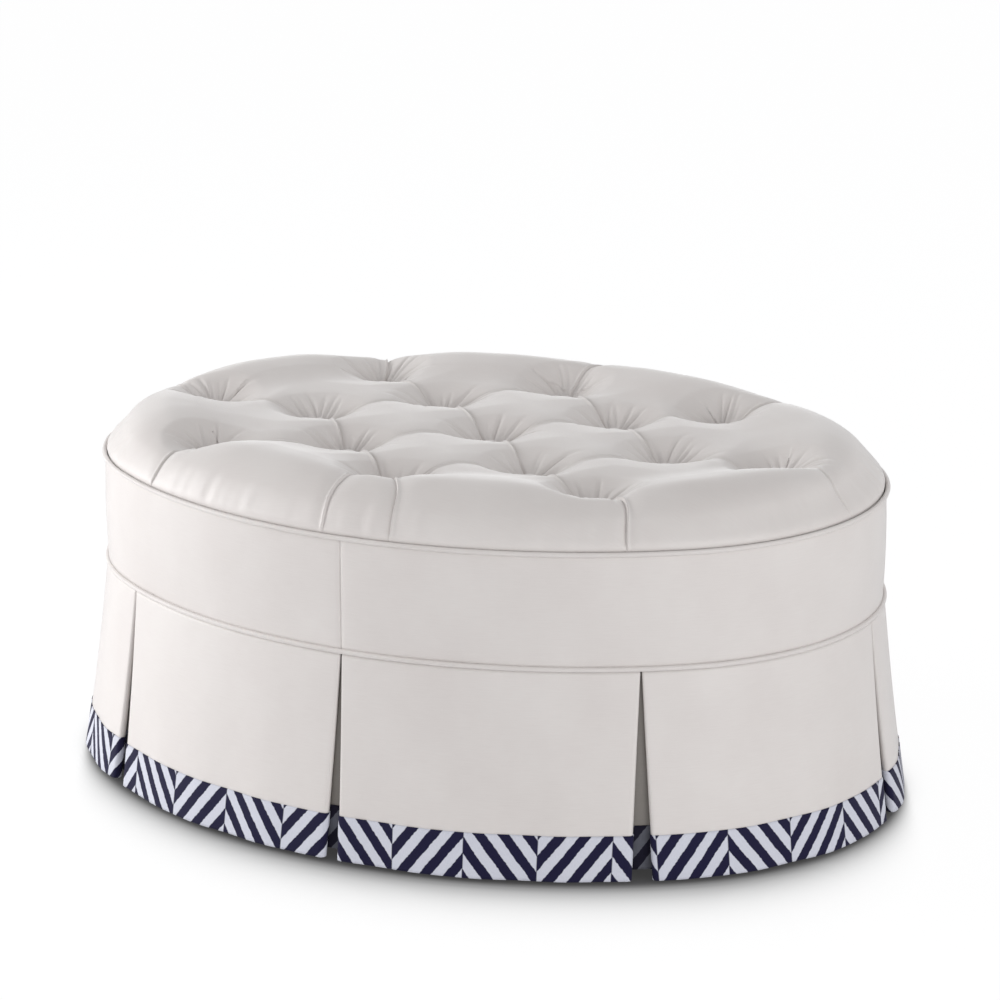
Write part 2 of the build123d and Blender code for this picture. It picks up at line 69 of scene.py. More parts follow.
@dataclass
class Oval:
    """Four-centre oval: two end arcs and two side arcs that meet on a shared outward angle."""

    half_length: float
    half_width: float
    end_round_share: float = 0.836
    end_radius: float = field(init=False)
    end_middle: float = field(init=False)
    side_radius: float = field(init=False)
    side_middle: float = field(init=False)
    join: float = field(init=False)
    ways: np.ndarray = field(init=False)
    turns: np.ndarray = field(init=False)

    def __post_init__(self) -> None:
        """Work out the arcs from the driving sizes."""
        self.end_radius = self.half_width * self.end_round_share
        self.end_middle = self.half_length - self.end_radius
        spare = self.end_middle**2 + self.half_width**2 - self.end_radius**2
        self.side_radius = spare / (2 * (self.half_width - self.end_radius))
        self.side_middle = self.side_radius - self.half_width
        self.join = math.atan2(self.side_middle, self.end_middle)
        side = self.side_radius * (math.pi / 2 - self.join)
        end = self.end_radius * self.join
        self.ways = np.cumsum([0, side, 2 * end, 2 * side, 2 * end, side])
        self.turns = np.array([
            -math.pi / 2, -self.join, self.join, math.pi - self.join, math.pi + self.join, 1.5 * math.pi,
        ])

    @property
    def way(self) -> float:
        """Length all the way round."""
        return float(self.ways[-1])

    def angle(self, share: np.ndarray) -> np.ndarray:
        """Outward angle in radians at a share of the way round from the front centre.

        Args:
            share: shares of the way round, anticlockwise from above.

        Returns:
            The outward angles, without a jump where a share passes 0 or 1.
        """
        share = np.asarray(share, float)
        laps = np.floor(share)
        return np.interp((share - laps) * self.way, self.ways, self.turns) + laps * 2 * math.pi

    def arcs(self, angle: np.ndarray) -> tuple[np.ndarray, np.ndarray, np.ndarray]:
        """Centre and radius of the arc at each outward angle.

        Args:
            angle: outward angles in radians.

        Returns:
            The centres' x and y, and the radii.
        """
        turned = (np.asarray(angle, float) + math.pi) % (2 * math.pi) - math.pi
        right = np.abs(turned) <= self.join
        left = np.abs(turned) >= math.pi - self.join
        ends = right | left
        centre_x = np.where(right, self.end_middle, np.where(left, -self.end_middle, 0.0))
        centre_y = np.where(ends, 0.0, np.where(turned > 0, -self.side_middle, self.side_middle))
        return centre_x, centre_y, np.where(ends, self.end_radius, self.side_radius)

    def points(self, angle: np.ndarray, grow: np.ndarray | float = 0.0) -> np.ndarray:
        """Points on the oval, grown outside it.

        Args:
            angle: outward angles in radians.
            grow: distance outside the oval.

        Returns:
            An array with x and y last.
        """
        centre_x, centre_y, radius = self.arcs(angle)
        reach = radius + grow
        return np.stack([centre_x + reach * np.cos(angle), centre_y + reach * np.sin(angle)], -1)

    def locate(self, places: np.ndarray) -> tuple[np.ndarray, np.ndarray]:
        """Outward angle and grow of places in the plan.

        Args:
            places: an array with x and y last.

        Returns:
            The outward angles and the distances outside the oval.
        """
        x, y = places[..., 0], places[..., 1]
        at_end = np.arctan2(np.abs(y), np.abs(x) - self.end_middle) <= self.join
        centre_x = np.where(at_end, np.sign(x) * self.end_middle, 0.0)
        centre_y = np.where(at_end, 0.0, np.where(y > 0, -self.side_middle, self.side_middle))
        radius = np.where(at_end, self.end_radius, self.side_radius)
        return np.arctan2(y - centre_y, x - centre_x), np.hypot(x - centre_x, y - centre_y) - radius


def resampled(line: np.ndarray, step: float) -> np.ndarray:
    """The same line with evenly spaced points.

    Args:
        line: points along the line.
        step: the widest spacing.

    Returns:
        Points along the line, its two ends among them.
    """
    along = np.concatenate([[0], np.cumsum(np.linalg.norm(np.diff(line, axis=0), axis=1))])
    count = max(2, math.ceil(along[-1] / step) + 1)
    at = np.linspace(0, along[-1], count)
    return np.stack([np.interp(at, along, column) for column in line.T], -1)


def smooth_line(points: np.ndarray, per_span: int) -> np.ndarray:
    """A smooth line through points, with Catmull-Rom spans.

    Args:
        points: the points it passes through.
        per_span: points made in each span.

    Returns:
        The denser line.
    """
    padded = np.vstack([2 * points[0] - points[1], points, 2 * points[-1] - points[-2]])
    share = np.linspace(0, 1, per_span, endpoint=False)[:, None]
    spans = []
    for a, b, c, d in zip(padded, padded[1:], padded[2:], padded[3:]):
        spans.append(
            0.5 * (2 * b + (c - a) * share + (2 * a - 5 * b + 4 * c - d) * share**2
                   + (3 * b - a - 3 * c + d) * share**3)
        )
    return np.vstack([*spans, points[-1:]])


def near_line(places: np.ndarray, line: np.ndarray) -> tuple[np.ndarray, np.ndarray]:
    """How far places are from a line, and where along it they are nearest.

    Args:
        places: points with x and y last.
        line: the line's points.

    Returns:
        The distance, positive to the left of the line, and the share of the way along it.
    """
    lengths = np.linalg.norm(np.diff(line, axis=0), axis=1)
    starts = np.concatenate([[0], np.cumsum(lengths)])
    best = np.full(len(places), np.inf)
    side = np.ones(len(places))
    share = np.zeros(len(places))
    for a, b, length, start in zip(line, line[1:], lengths, starts):
        way = (b - a) / length
        off = places - a
        along = np.clip(off @ way, 0, length)
        away = np.linalg.norm(off - along[:, None] * way, axis=1)
        closer = away < best - 1e-12
        best = np.where(closer, away, best)
        side = np.where(closer, np.sign(way[0] * off[:, 1] - way[1] * off[:, 0]), side)
        share = np.where(closer, (start + along) / starts[-1], share)
    return best * np.where(side == 0, 1, side), share


def bump_shape(value: np.ndarray, middle: float, width: float) -> np.ndarray:
    """A smooth hump of height 1 round a middle value."""
    return np.exp(-(((value - middle) / width) ** 2))


def ramp(value: np.ndarray, low: float, high: float) -> np.ndarray:
    """A smooth rise from 0 to 1 between two values."""
    share = np.clip((value - low) / (high - low), 0, 1)
    return share * share * (3 - 2 * share)


def waves(at: np.ndarray, rng: np.random.Generator, lengths: Sequence[float]) -> np.ndarray:
    """A sum of waves with random phases, between about -1 and 1.

    Args:
        at: distance along the cloth.
        rng: source of the phases.
        lengths: wavelengths, each at its own weight of one over its place.

    Returns:
        The wave's value at each distance.
    """
    total = np.zeros_like(np.asarray(at, float))
    weight = 0.0
    for place, length in enumerate(lengths, 1):
        total += np.sin(2 * math.pi * at / length + rng.uniform(0, 2 * math.pi)) / place
        weight += 1 / place
    return total / weight


# Meshes


def mesh_object(
    name: str,
    points: np.ndarray,
    faces: np.ndarray,
    uv: Optional[np.ndarray] = None,
    edges: Optional[np.ndarray] = None,
) -> bpy.types.Object:
    """Make a smooth-shaded mesh object at the origin.

    Args:
        name: the object's name.
        points: vertex positions.
        faces: vertex numbers, one row for each face.
        uv: a place in the cloth's own plane for each vertex, in metres.
        edges: loose edges, for a line without faces.

    Returns:
        The new object, linked to the scene.
    """
    mesh = bpy.data.meshes.new(name)
    if edges is not None:
        mesh.from_pydata(points.tolist(), edges.tolist(), [])
    else:
        mesh.vertices.add(len(points))
        mesh.vertices.foreach_set("co", points.astype(np.float32).ravel())
        corners = faces.shape[1]
        mesh.loops.add(faces.size)
        mesh.loops.foreach_set("vertex_index", faces.astype(np.int32).ravel())
        mesh.polygons.add(len(faces))
        mesh.polygons.foreach_set("loop_start", np.arange(0, faces.size, corners, dtype=np.int32))
        mesh.update(calc_edges=True)
        mesh.validate()
        mesh.shade_smooth()
        if uv is not None:
            layer = mesh.uv_layers.new(name="cloth")
            layer.data.foreach_set("uv", uv[faces.ravel()].astype(np.float32).ravel())
    made = bpy.data.objects.new(name, mesh)
    bpy.context.scene.collection.objects.link(made)
    return made


def grid_faces(rows: int, columns: int, wrap: bool = False) -> np.ndarray:
    """Faces of a grid of vertices stored row by row.

    Args:
        rows: vertices from first to last row.
        columns: vertices in each row.
        wrap: whether the last column joins the first.

    Returns:
        One row of four vertex numbers for each face.
    """
    last = columns if wrap else columns - 1
    row, column = np.meshgrid(np.arange(rows - 1), np.arange(last), indexing="ij")
    here = (row * columns + column).ravel()
    beside = (row * columns + (column + 1) % columns).ravel()
    return np.stack([here, beside, beside + columns, here + columns], 1)


def halved(faces: np.ndarray) -> np.ndarray:
    """Two triangles for each face of four vertices."""
    return np.vstack([faces[:, [0, 1, 2]], faces[:, [0, 2, 3]]])


def fan(ring: np.ndarray, middle: int, flip: bool = False) -> np.ndarray:
    """Triangles that close a ring of vertices.

    Args:
        ring: the ring's vertex numbers in order.
        middle: number of the vertex in its middle.
        flip: whether the triangles face the other way.

    Returns:
        One row of three vertex numbers for each side of the ring.
    """
    sides = [np.roll(ring, -1), ring] if flip else [ring, np.roll(ring, -1)]
    return np.stack([*sides, np.full(len(ring), middle)], 1)


def sew_on(piece: bpy.types.Object, finish: bpy.types.Material, slot: str, *nodes: str) -> bpy.types.Object:
    """Give a piece its finish and its body, and hide the solids that it stands for.

    Args:
        piece: the finished piece.
        finish: its material.
        slot: the record's material slot; not used.
        nodes: names of the solids that it replaces.

    Returns:
        The piece.
    """
    piece.data.materials.clear()
    piece.data.materials.append(finish)
    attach(piece, BODY)
    if nodes:
        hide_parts(*nodes)
    return piece


def thicken(piece: bpy.types.Object, cloth: float) -> None:
    """Give a sheet its thickness, half on each side of its surface.

    Args:
        piece: the sheet.
        cloth: the cloth's thickness.
    """
    shell = piece.modifiers.new("cloth", "SOLIDIFY")
    shell.thickness = cloth
    shell.offset = 0.0
    shell.use_even_offset = False


# Finishes


class Nodes:
    """Adds and links the nodes of one material."""

    def __init__(self, name: str) -> None:
        """Start a material with a bare principled shader.

        Args:
            name: the material's name.
        """
        self.material = bpy.data.materials.new(name)
        self.material.use_nodes = True
        self.tree = self.material.node_tree
        self.tree.nodes.clear()
        self.output = self.tree.nodes.new("ShaderNodeOutputMaterial")
        self.shader = self.tree.nodes.new("ShaderNodeBsdfPrincipled")
        self.link(self.shader.outputs[0], self.output.inputs["Surface"])

    def link(self, source: bpy.types.NodeSocket, target: bpy.types.NodeSocket) -> None:
        """Join two sockets."""
        self.tree.links.new(source, target)

    def put(self, socket: bpy.types.NodeSocket, value: object) -> None:
        """Set a socket's value, or link it where the value is a socket.

        Args:
            socket: the input to set.
            value: a plain value or a socket.
        """
        if isinstance(value, bpy.types.NodeSocket):
            self.link(value, socket)
        else:
            socket.default_value = value

    def surface(self, **values: object) -> None:
        """Set inputs of the principled shader, with _ for a space in their names."""
        for name, value in values.items():
            self.put(self.shader.inputs[name.replace("_", " ")], value)

    def math(self, operation: str, first: object, second: object = 0.0) -> bpy.types.NodeSocket:
        """Add a Math node.

        Args:
            operation: the node's operation.
            first: its first value or socket.
            second: its second value or socket.

        Returns:
            The result's socket.
        """
        node = self.tree.nodes.new("ShaderNodeMath")
        node.operation = operation
        self.put(node.inputs[0], first)
        self.put(node.inputs[1], second)
        return node.outputs[0]

    def times(self, first: object, second: object) -> bpy.types.NodeSocket:
        """Multiply two values or sockets."""
        return self.math("MULTIPLY", first, second)

    def plus(self, first: object, second: object) -> bpy.types.NodeSocket:
        """Add two values or sockets."""
        return self.math("ADD", first, second)

    def less(self, first: object, second: object) -> bpy.types.NodeSocket:
        """Take the second value or socket from the first."""
        return self.math("SUBTRACT", first, second)

    def place(self, uv: bool = False) -> bpy.types.NodeSocket:
        """The shaded place, in the object's own space or in the cloth's plane.

        Args:
            uv: whether it is in the cloth's plane.

        Returns:
            The place's socket.
        """
        if uv:
            node = self.tree.nodes.new("ShaderNodeUVMap")
            node.uv_map = "cloth"
            return node.outputs[0]
        return self.tree.nodes.new("ShaderNodeTexCoord").outputs["Object"]

    def split(self, vector: bpy.types.NodeSocket) -> tuple[bpy.types.NodeSocket, ...]:
        """The parts of a vector.

        Args:
            vector: the vector's socket.

        Returns:
            The sockets of its x, y and z.
        """
        node = self.tree.nodes.new("ShaderNodeSeparateXYZ")
        self.link(vector, node.inputs[0])
        return tuple(node.outputs)

    def scaled(self, vector: bpy.types.NodeSocket, scale: Sequence[float]) -> bpy.types.NodeSocket:
        """A vector with each part scaled.

        Args:
            vector: the vector's socket.
            scale: the factor of each part.

        Returns:
            The scaled vector's socket.
        """
        node = self.tree.nodes.new("ShaderNodeMapping")
        self.link(vector, node.inputs["Vector"])
        node.inputs["Scale"].default_value = scale
        return node.outputs[0]

    def noise(
        self, vector: bpy.types.NodeSocket, scale: float, detail: float = 2.0, rough: float = 0.5
    ) -> bpy.types.NodeSocket:
        """Add a noise texture.

        Args:
            vector: where it is read.
            scale: its scale, per metre.
            detail: how many finer layers it has.
            rough: how strong they are.

        Returns:
            Its factor's socket.
        """
        node = self.tree.nodes.new("ShaderNodeTexNoise")
        self.link(vector, node.inputs["Vector"])
        node.inputs["Scale"].default_value = scale
        node.inputs["Detail"].default_value = detail
        node.inputs["Roughness"].default_value = rough
        return node.outputs["Fac"]

    def blend(self, factor: object, first: object, second: object) -> bpy.types.NodeSocket:
        """Mix two colours.

        Args:
            factor: the second colour's share, a socket.
            first: the first colour.
            second: the second colour.

        Returns:
            The colour's socket.
        """
        node = self.tree.nodes.new("ShaderNodeMix")
        node.data_type = "RGBA"
        self.put(node.inputs[0], factor)
        self.put(node.inputs[6], first)
        self.put(node.inputs[7], second)
        return node.outputs[2]

    def spread(
        self, value: bpy.types.NodeSocket, low: float, high: float, start: float, end: float
    ) -> bpy.types.NodeSocket:
        """Map a value from one range to another, held at the ends.

        Args:
            value: the socket to map.
            low: value that gives start.
            high: value that gives end.
            start: result at low.
            end: result at high.

        Returns:
            The result's socket.
        """
        node = self.tree.nodes.new("ShaderNodeMapRange")
        self.link(value, node.inputs[0])
        for index, number in enumerate((low, high, start, end), 1):
            node.inputs[index].default_value = number
        return node.outputs[0]

    def relief(self, height: bpy.types.NodeSocket, distance: float, strength: float = 1.0) -> None:
        """Give the shader a bump of this height in metres.

        Args:
            height: the height's socket.
            distance: how far a height of 1 stands out, in metres.
            strength: how strongly it shows.
        """
        node = self.tree.nodes.new("ShaderNodeBump")
        node.inputs["Distance"].default_value = distance
        node.inputs["Strength"].default_value = strength
        self.link(height, node.inputs["Height"])
        self.link(node.outputs[0], self.shader.inputs["Normal"])


Colour = tuple[float, float, float, float]


def paint(red: float, green: float, blue: float) -> Colour:
    """A colour as it shows on a screen, from 0 to 255, as the shader's linear colour.

    Args:
        red: red part.
        green: green part.
        blue: blue part.

    Returns:
        The linear colour, opaque.
    """
    parts = [value / 255 for value in (red, green, blue)]
    linear = [p / 12.92 if p <= 0.04045 else ((p + 0.055) / 1.055) ** 2.4 for p in parts]
    return (linear[0], linear[1], linear[2], 1.0)


@dataclass(frozen=True)
class Sateen:
    """Smooth cotton sateen: fine threads, slubs along the weft and a soft sheen."""

    name: str
    light: Colour
    shade: Colour
    warp_pitch: float = 0.0011
    weft_pitch: float = 0.0009
    rough: float = 0.48
    sheen: float = 0.60
    gloss: float = 0.5

    def build(self) -> bpy.types.Material:
        """Build the material.

        Returns:
            The material.
        """
        nodes = Nodes(self.name)
        cloth = nodes.place(uv=True)
        along, up, _ = nodes.split(cloth)
        slub = nodes.noise(nodes.scaled(cloth, (40, 900, 1)), 1.0, 3.0, 0.6)
        cloud = nodes.noise(nodes.scaled(cloth, (9, 7, 1)), 1.0, 4.0, 0.55)
        tone = nodes.plus(nodes.times(slub, 0.35), nodes.times(cloud, 0.65))
        warp = nodes.math("SINE", nodes.times(along, 2 * math.pi / self.warp_pitch))
        weft = nodes.math("SINE", nodes.times(up, 2 * math.pi / self.weft_pitch))
        weave = nodes.times(warp, weft)
        height = nodes.plus(nodes.times(weave, 0.3), nodes.times(slub, 0.9))
        nodes.surface(
            Base_Color=nodes.blend(nodes.spread(tone, 0.36, 0.64, 0, 1), self.shade, self.light),
            Roughness=nodes.spread(slub, 0.3, 0.7, self.rough - 0.05, self.rough + 0.05),
            Sheen_Weight=self.sheen,
            Sheen_Roughness=0.30,
            Specular_IOR_Level=self.gloss,
        )
        nodes.relief(height, 0.00012, 0.5)
        return nodes.material


@dataclass(frozen=True)
class ChevronTape:
    """Woven tape in columns of slanted stripes, which lean the other way in each next column."""

    name: str
    dark: Colour
    pale: Colour
    pale_shade: Colour = paint(203, 206, 219)
    column: float = 0.085
    stripe_pitch: float = 0.0283
    lean: float = 0.785
    rising_start: float = 0.0088
    falling_start: float = 0.0242
    rib_pitch: float = 0.0016
    jag: float = 0.0022
    deep_gain: float = 1.8

    def build(self) -> bpy.types.Material:
        """Build the material.

        Returns:
            The material.
        """
        nodes = Nodes(self.name)
        cloth = nodes.place(uv=True)
        along, up, _ = nodes.split(cloth)
        columns = nodes.math("DIVIDE", along, self.column)
        number = nodes.math("FLOOR", columns)
        inside = nodes.times(nodes.less(columns, number), self.column)
        odd = nodes.math("ROUND", nodes.times(nodes.math("FRACT", nodes.times(number, 0.5)), 2))
        steps = nodes.noise(nodes.scaled(cloth, (230, 260, 1)), 1.0, 1.0, 0.4)
        wander = nodes.noise(nodes.scaled(cloth, (55, 60, 1)), 1.0, 1.0, 0.4)
        jag = nodes.plus(
            nodes.times(nodes.less(steps, 0.5), self.jag), nodes.times(nodes.less(wander, 0.5), self.jag)
        )
        lean = nodes.times(up, self.lean)
        side = nodes.less(nodes.times(odd, 2), 1)
        start = nodes.plus(nodes.times(odd, self.rising_start - self.falling_start), self.falling_start)
        run = nodes.less(nodes.plus(inside, jag), nodes.times(lean, side))
        past = nodes.plus(nodes.less(run, start), 1.0)
        turn = nodes.math("FRACT", nodes.math("DIVIDE", past, self.stripe_pitch))
        middle = nodes.math("ABSOLUTE", nodes.less(turn, 0.5))
        dark = nodes.spread(middle, 0.235, 0.265, 1, 0)
        edge = nodes.math("MINIMUM", inside, nodes.less(self.column, inside))
        joint = nodes.spread(edge, 0.0002, 0.0009, 0.75, 0)
        thread = nodes.noise(nodes.scaled(cloth, (900, 300, 1)), 1.0, 2.0, 0.6)
        pale = nodes.blend(thread, self.pale, self.pale_shade)
        deep = nodes.blend(thread, self.dark, (*(self.deep_gain * part for part in self.dark[:3]), 1.0))
        colour = nodes.blend(nodes.math("MAXIMUM", dark, joint), pale, deep)
        rib = nodes.math("SINE", nodes.times(up, 2 * math.pi / self.rib_pitch))
        warp = nodes.math("SINE", nodes.times(along, 2 * math.pi / self.rib_pitch))
        height = nodes.plus(nodes.times(nodes.times(rib, warp), 0.35), nodes.times(dark, -0.8))
        nodes.surface(Base_Color=colour, Roughness=0.82, Sheen_Weight=0.06, Specular_IOR_Level=0.2)
        nodes.relief(height, 0.0002, 0.6)
        return nodes.material


@dataclass(frozen=True)
class Fibre:
    """Loose or felted fibre, such as wadding, foam and lining cloth."""

    name: str
    light: Colour
    shade: Colour
    grain: float = 600.0
    depth: float = 0.0008
    rough: float = 0.95

    def build(self) -> bpy.types.Material:
        """Build the material.

        Returns:
            The material.
        """
        nodes = Nodes(self.name)
        place = nodes.place()
        fibres = nodes.noise(place, self.grain, 5.0, 0.7)
        tufts = nodes.noise(place, self.grain / 14, 3.0, 0.5)
        tone = nodes.plus(nodes.times(fibres, 0.6), nodes.times(tufts, 0.4))
        nodes.surface(
            Base_Color=nodes.blend(nodes.spread(tone, 0.35, 0.65, 0, 1), self.shade, self.light),
            Roughness=self.rough,
            Sheen_Weight=0.1,
        )
        nodes.relief(tone, self.depth, 0.8)
        return nodes.material


@dataclass(frozen=True)
class Timber:
    """Planed wood with growth rings along one axis, pores and a worn waxed surface."""

    name: str
    early: Colour
    late: Colour
    grain: tuple[float, float, float] = (1.0, 1.0, 0.08)
    rings: float = 90.0
    rough: float = 0.55

    def build(self) -> bpy.types.Material:
        """Build the material.

        Returns:
            The material.
        """
        nodes = Nodes(self.name)
        place = nodes.scaled(nodes.place(), self.grain)
        sway = nodes.noise(place, 14.0, 3.0, 0.5)
        ring = nodes.math("SINE", nodes.times(sway, self.rings))
        pores = nodes.noise(place, 1400.0, 3.0, 0.6)
        tone = nodes.plus(nodes.spread(ring, -1, 1, 0, 0.75), nodes.times(pores, 0.25))
        nodes.surface(
            Base_Color=nodes.blend(tone, self.early, self.late),
            Roughness=nodes.spread(pores, 0.3, 0.7, self.rough - 0.08, self.rough + 0.12),
        )
        nodes.relief(tone, 0.0003, 0.5)
        return nodes.material


@dataclass(frozen=True)
class Hard:
    """Plated steel or moulded plastic with fine scratches and handling marks."""

    name: str
    light: Colour
    shade: Colour
    metal: float = 0.0
    rough: float = 0.4

    def build(self) -> bpy.types.Material:
        """Build the material.

        Returns:
            The material.
        """
        nodes = Nodes(self.name)
        place = nodes.place()
        marks = nodes.noise(nodes.scaled(place, (1, 1, 6)), 350.0, 4.0, 0.65)
        smear = nodes.noise(place, 60.0, 2.0, 0.5)
        nodes.surface(
            Base_Color=nodes.blend(nodes.spread(smear, 0.35, 0.65, 0, 1), self.shade, self.light),
            Roughness=nodes.spread(marks, 0.3, 0.7, self.rough - 0.1, self.rough + 0.15),
            Metallic=self.metal,
        )
        nodes.relief(marks, 0.0001, 0.4)
        return nodes.material


@dataclass
class Workroom:
    """Every finish of the piece, built once."""

    ivory: bpy.types.Material = field(init=False)
    pleat: bpy.types.Material = field(init=False)
    piping: bpy.types.Material = field(init=False)
    tape: bpy.types.Material = field(init=False)
    painted_shade_tape: bpy.types.Material = field(init=False)
    wadding: bpy.types.Material = field(init=False)
    foam: bpy.types.Material = field(init=False)
    lining: bpy.types.Material = field(init=False)
    twine: bpy.types.Material = field(init=False)
    birch: bpy.types.Material = field(init=False)
    beech: bpy.types.Material = field(init=False)
    board: bpy.types.Material = field(init=False)
    steel: bpy.types.Material = field(init=False)
    nylon: bpy.types.Material = field(init=False)

    def __post_init__(self) -> None:
        """Build the finishes."""
        self.ivory = Sateen("ivory_sateen", paint(226, 221, 218), paint(220, 214, 211)).build()
        # The flaps behind the pleats get a darker copy of the ivory sateen: painted shade for the dark pleat
        # gaps.
        self.pleat = Sateen("pleat_painted_shade_sateen", paint(126, 121, 116), paint(118, 113, 108), sheen=0.2).build()
        self.piping = Sateen("piping_sateen", paint(224, 219, 216), paint(219, 213, 210), rough=0.55).build()
        self.tape = ChevronTape("chevron_tape", paint(20, 18, 46), paint(222, 223, 232)).build()
        # A darker copy of the chevron tape for the flaps: painted shade of the tape deep in the pleat gaps.
        self.painted_shade_tape = ChevronTape(
            "painted_shade_tape", paint(12, 10, 26), paint(96, 97, 106), paint(86, 88, 96)
        ).build()
        self.wadding = Fibre(
            "white_wadding", paint(236, 234, 228), paint(218, 214, 205), 420.0, 0.002
        ).build()
        self.foam = Fibre("seat_foam", paint(236, 226, 190), paint(222, 208, 165), 900.0, 0.0012).build()
        self.lining = Fibre("black_lining", paint(38, 37, 38), paint(24, 23, 25), 1500.0, 0.0004).build()
        self.twine = Fibre(
            "waxed_twine", paint(222, 208, 176), paint(190, 172, 135), 1800.0, 0.0003, 0.7
        ).build()
        self.birch = Timber("frame_plywood", paint(226, 206, 172), paint(205, 178, 138)).build()
        self.beech = Timber(
            "foot_beech", paint(96, 62, 42), paint(64, 40, 27), rings=140.0, rough=0.34
        ).build()
        self.board = Fibre("panel_board", paint(190, 167, 138), paint(172, 146, 116), 300.0, 0.0005).build()
        self.steel = Hard("zinc_steel", paint(196, 198, 200), paint(160, 162, 166), 1.0, 0.32).build()
        self.nylon = Hard("glide_nylon", paint(52, 52, 53), paint(42, 42, 43), 0.0, 0.5).build()


# The tufted top


@dataclass(frozen=True)
class Fold:
    """A fold between two tufts, with its lip left of the way from first to second, or right at -1."""

    first: int
    second: int
    lip: int
    slit: float = 0.0008
    echo: float = 0.0
    bow: float = 0.0
    sag: float = 0.0


@dataclass(frozen=True)
class Pleat:
    """A pleat from an outer tuft over the edge to the welt."""

    tuft: int
    end_share: float
    bow: float = 0.0
    lip: int = 1
    strength: float = 1.0


@dataclass
class TuftedTop:
    """The deep-buttoned cover: puffs between folds, wells at the tufts and pleats over the edge."""

    oval: Oval
    base: float
    top: float
    roll: float = 0.112
    dish: float = 0.018
    dish_start: float = 0.062
    dish_end: float = 0.170
    end_slack: float = 0.0125
    slack_share: float = 0.45
    slack_width: float = 0.02
    well_floor: float = 0.0145
    well_radius: float = 0.006
    cone_reach: float = 0.058
    cone_power: float = 1.25
    cone_share: float = 0.55
    bowl_reach: float = 0.106
    bowl_power: float = 1.7
    valley: float = 0.0030
    valley_near: float = 0.0050
    valley_width: float = 0.036
    valley_power: float = 1.8
    valley_place: float = 0.030
    valley_spread: float = 0.022
    gather_reach: float = 0.09
    gather_lengths: tuple[float, float] = (0.045, 0.084)
    gather_depths: tuple[float, float] = (0.0024, 0.0058)
    lip_height: float = 0.0029
    lip_width: float = 0.0022
    step: float = 0.0008
    echo_rows: tuple[tuple[float, float, float], ...] = ((0.0085, 0.0018, 0.0014), (0.0150, 0.0022, 0.0011))
    pleat_ways: tuple[float, ...] = (0, 0.03, 0.06, 0.12)
    pleat_depths: tuple[float, ...] = (0, 0.0080, 0.0060, 0.0030, 0.0010)
    pleat_slit: float = 0.0009
    lip_start: float = 0.0010
    under_reach: float = 0.0034
    rim_count: int = 1000
    line_step: float = 0.0026
    ripple_counts: tuple[int, ...] = (61, 97, 143)
    ripple_sizes: tuple[float, ...] = (0.0004, 0.0003, 0.0002)
    lattice: float = 0.0038
    fine_lattice: float = 0.0019
    fine_reach: float = 0.056
    row_offsets: tuple[float, ...] = (0.0006, 0.0015, 0.0028, 0.0045, 0.0068, 0.0098)
    seed: int = 7
    rise_shares: tuple[float, ...] = (-0.022, 0.05, 0.12, 0.25, 0.42, 0.58, 0.74, 0.86, 0.95, 1)
    inset_shares: tuple[float, ...] = (0.010, 0.0, 0.003, 0.036, 0.098, 0.188, 0.339, 0.509, 0.714, 1)
    tuft_shares: tuple[tuple[float, float], ...] = (
        (0.0, 0.0),
        (0.224, 0.326), (-0.258, 0.321), (-0.266, -0.313), (0.228, -0.313),
        (0.476, 0.0), (-0.484, 0.0), (-0.028, 0.647), (-0.022, -0.636),
        (0.451, 0.547), (-0.524, 0.545), (-0.553, -0.55), (0.476, -0.542),
        (0.768, 0.0), (-0.797, 0.0),
    )
    fold_list: tuple[Fold, ...] = (
        Fold(0, 1, -1, 0.0018, 1.0), Fold(0, 2, 1), Fold(0, 3, 1, 0.0018, 1.0), Fold(0, 4, -1),
        Fold(1, 7, 1), Fold(2, 7, -1), Fold(3, 8, -1, 0.0016), Fold(4, 8, 1, 0.0042, 0.0, 0.018),
        Fold(1, 5, -1), Fold(4, 5, -1, 0.0018, 1.0), Fold(2, 6, 1), Fold(3, 6, 1),
        Fold(1, 9, -1), Fold(2, 10, 1), Fold(3, 11, 1, sag=0.0035), Fold(4, 12, -1),
        Fold(5, 13, -1, 0.0010), Fold(6, 14, 1, 0.0010),
    )
    pleats: tuple[Pleat, ...] = (
        Pleat(8, -0.0085, -0.011, -1, 0.75), Pleat(8, 0.0225, 0.003, 1, 0.8),
        Pleat(11, -0.1145, -0.012, -1, 0.75), Pleat(12, 0.1215, 0.012),
        Pleat(13, 0.2345, 0.015, 1, 0.4), Pleat(14, -0.2605, 0.01, 1, 0.5),
        Pleat(9, 0.384, 0.004), Pleat(10, 0.615, -0.004), Pleat(7, 0.5, 0.004),
    )

    def __post_init__(self) -> None:
        """Work out the edge profile, the tufts and the fold lines."""
        rise = np.array(self.rise_shares) * (self.top - self.base)
        inset = np.array(self.inset_shares) * self.roll
        line = smooth_line(np.stack([-inset, rise], 1)[::-1], 12)
        steps = np.linalg.norm(np.diff(line, axis=0), axis=1)
        self.edge_way = np.concatenate([[0], np.cumsum(steps)])
        self.edge_line = line
        self.tufts = np.array(self.tuft_shares) * (self.oval.half_length, self.oval.half_width)
        self.folds = [self.fold_line(fold) for fold in self.fold_list]
        self.edges = [self.pleat_line(pleat) for pleat in self.pleats]

    def fold_line(self, fold: Fold) -> np.ndarray:
        """The slightly bowed line of a fold between two tufts, in the laid-out cover.

        Args:
            fold: the fold.

        Returns:
            Points along it.
        """
        a, b = self.tufts[fold.first], self.tufts[fold.second]
        across = np.array([-(b - a)[1], (b - a)[0]]) / np.linalg.norm(b - a)
        bow = -fold.bow if fold.bow else 0.004 * math.sin(2.3 * fold.first + 1.7 * fold.second)
        return smooth_line(np.stack([a, (a + b) / 2 + bow * across, b]), 6)

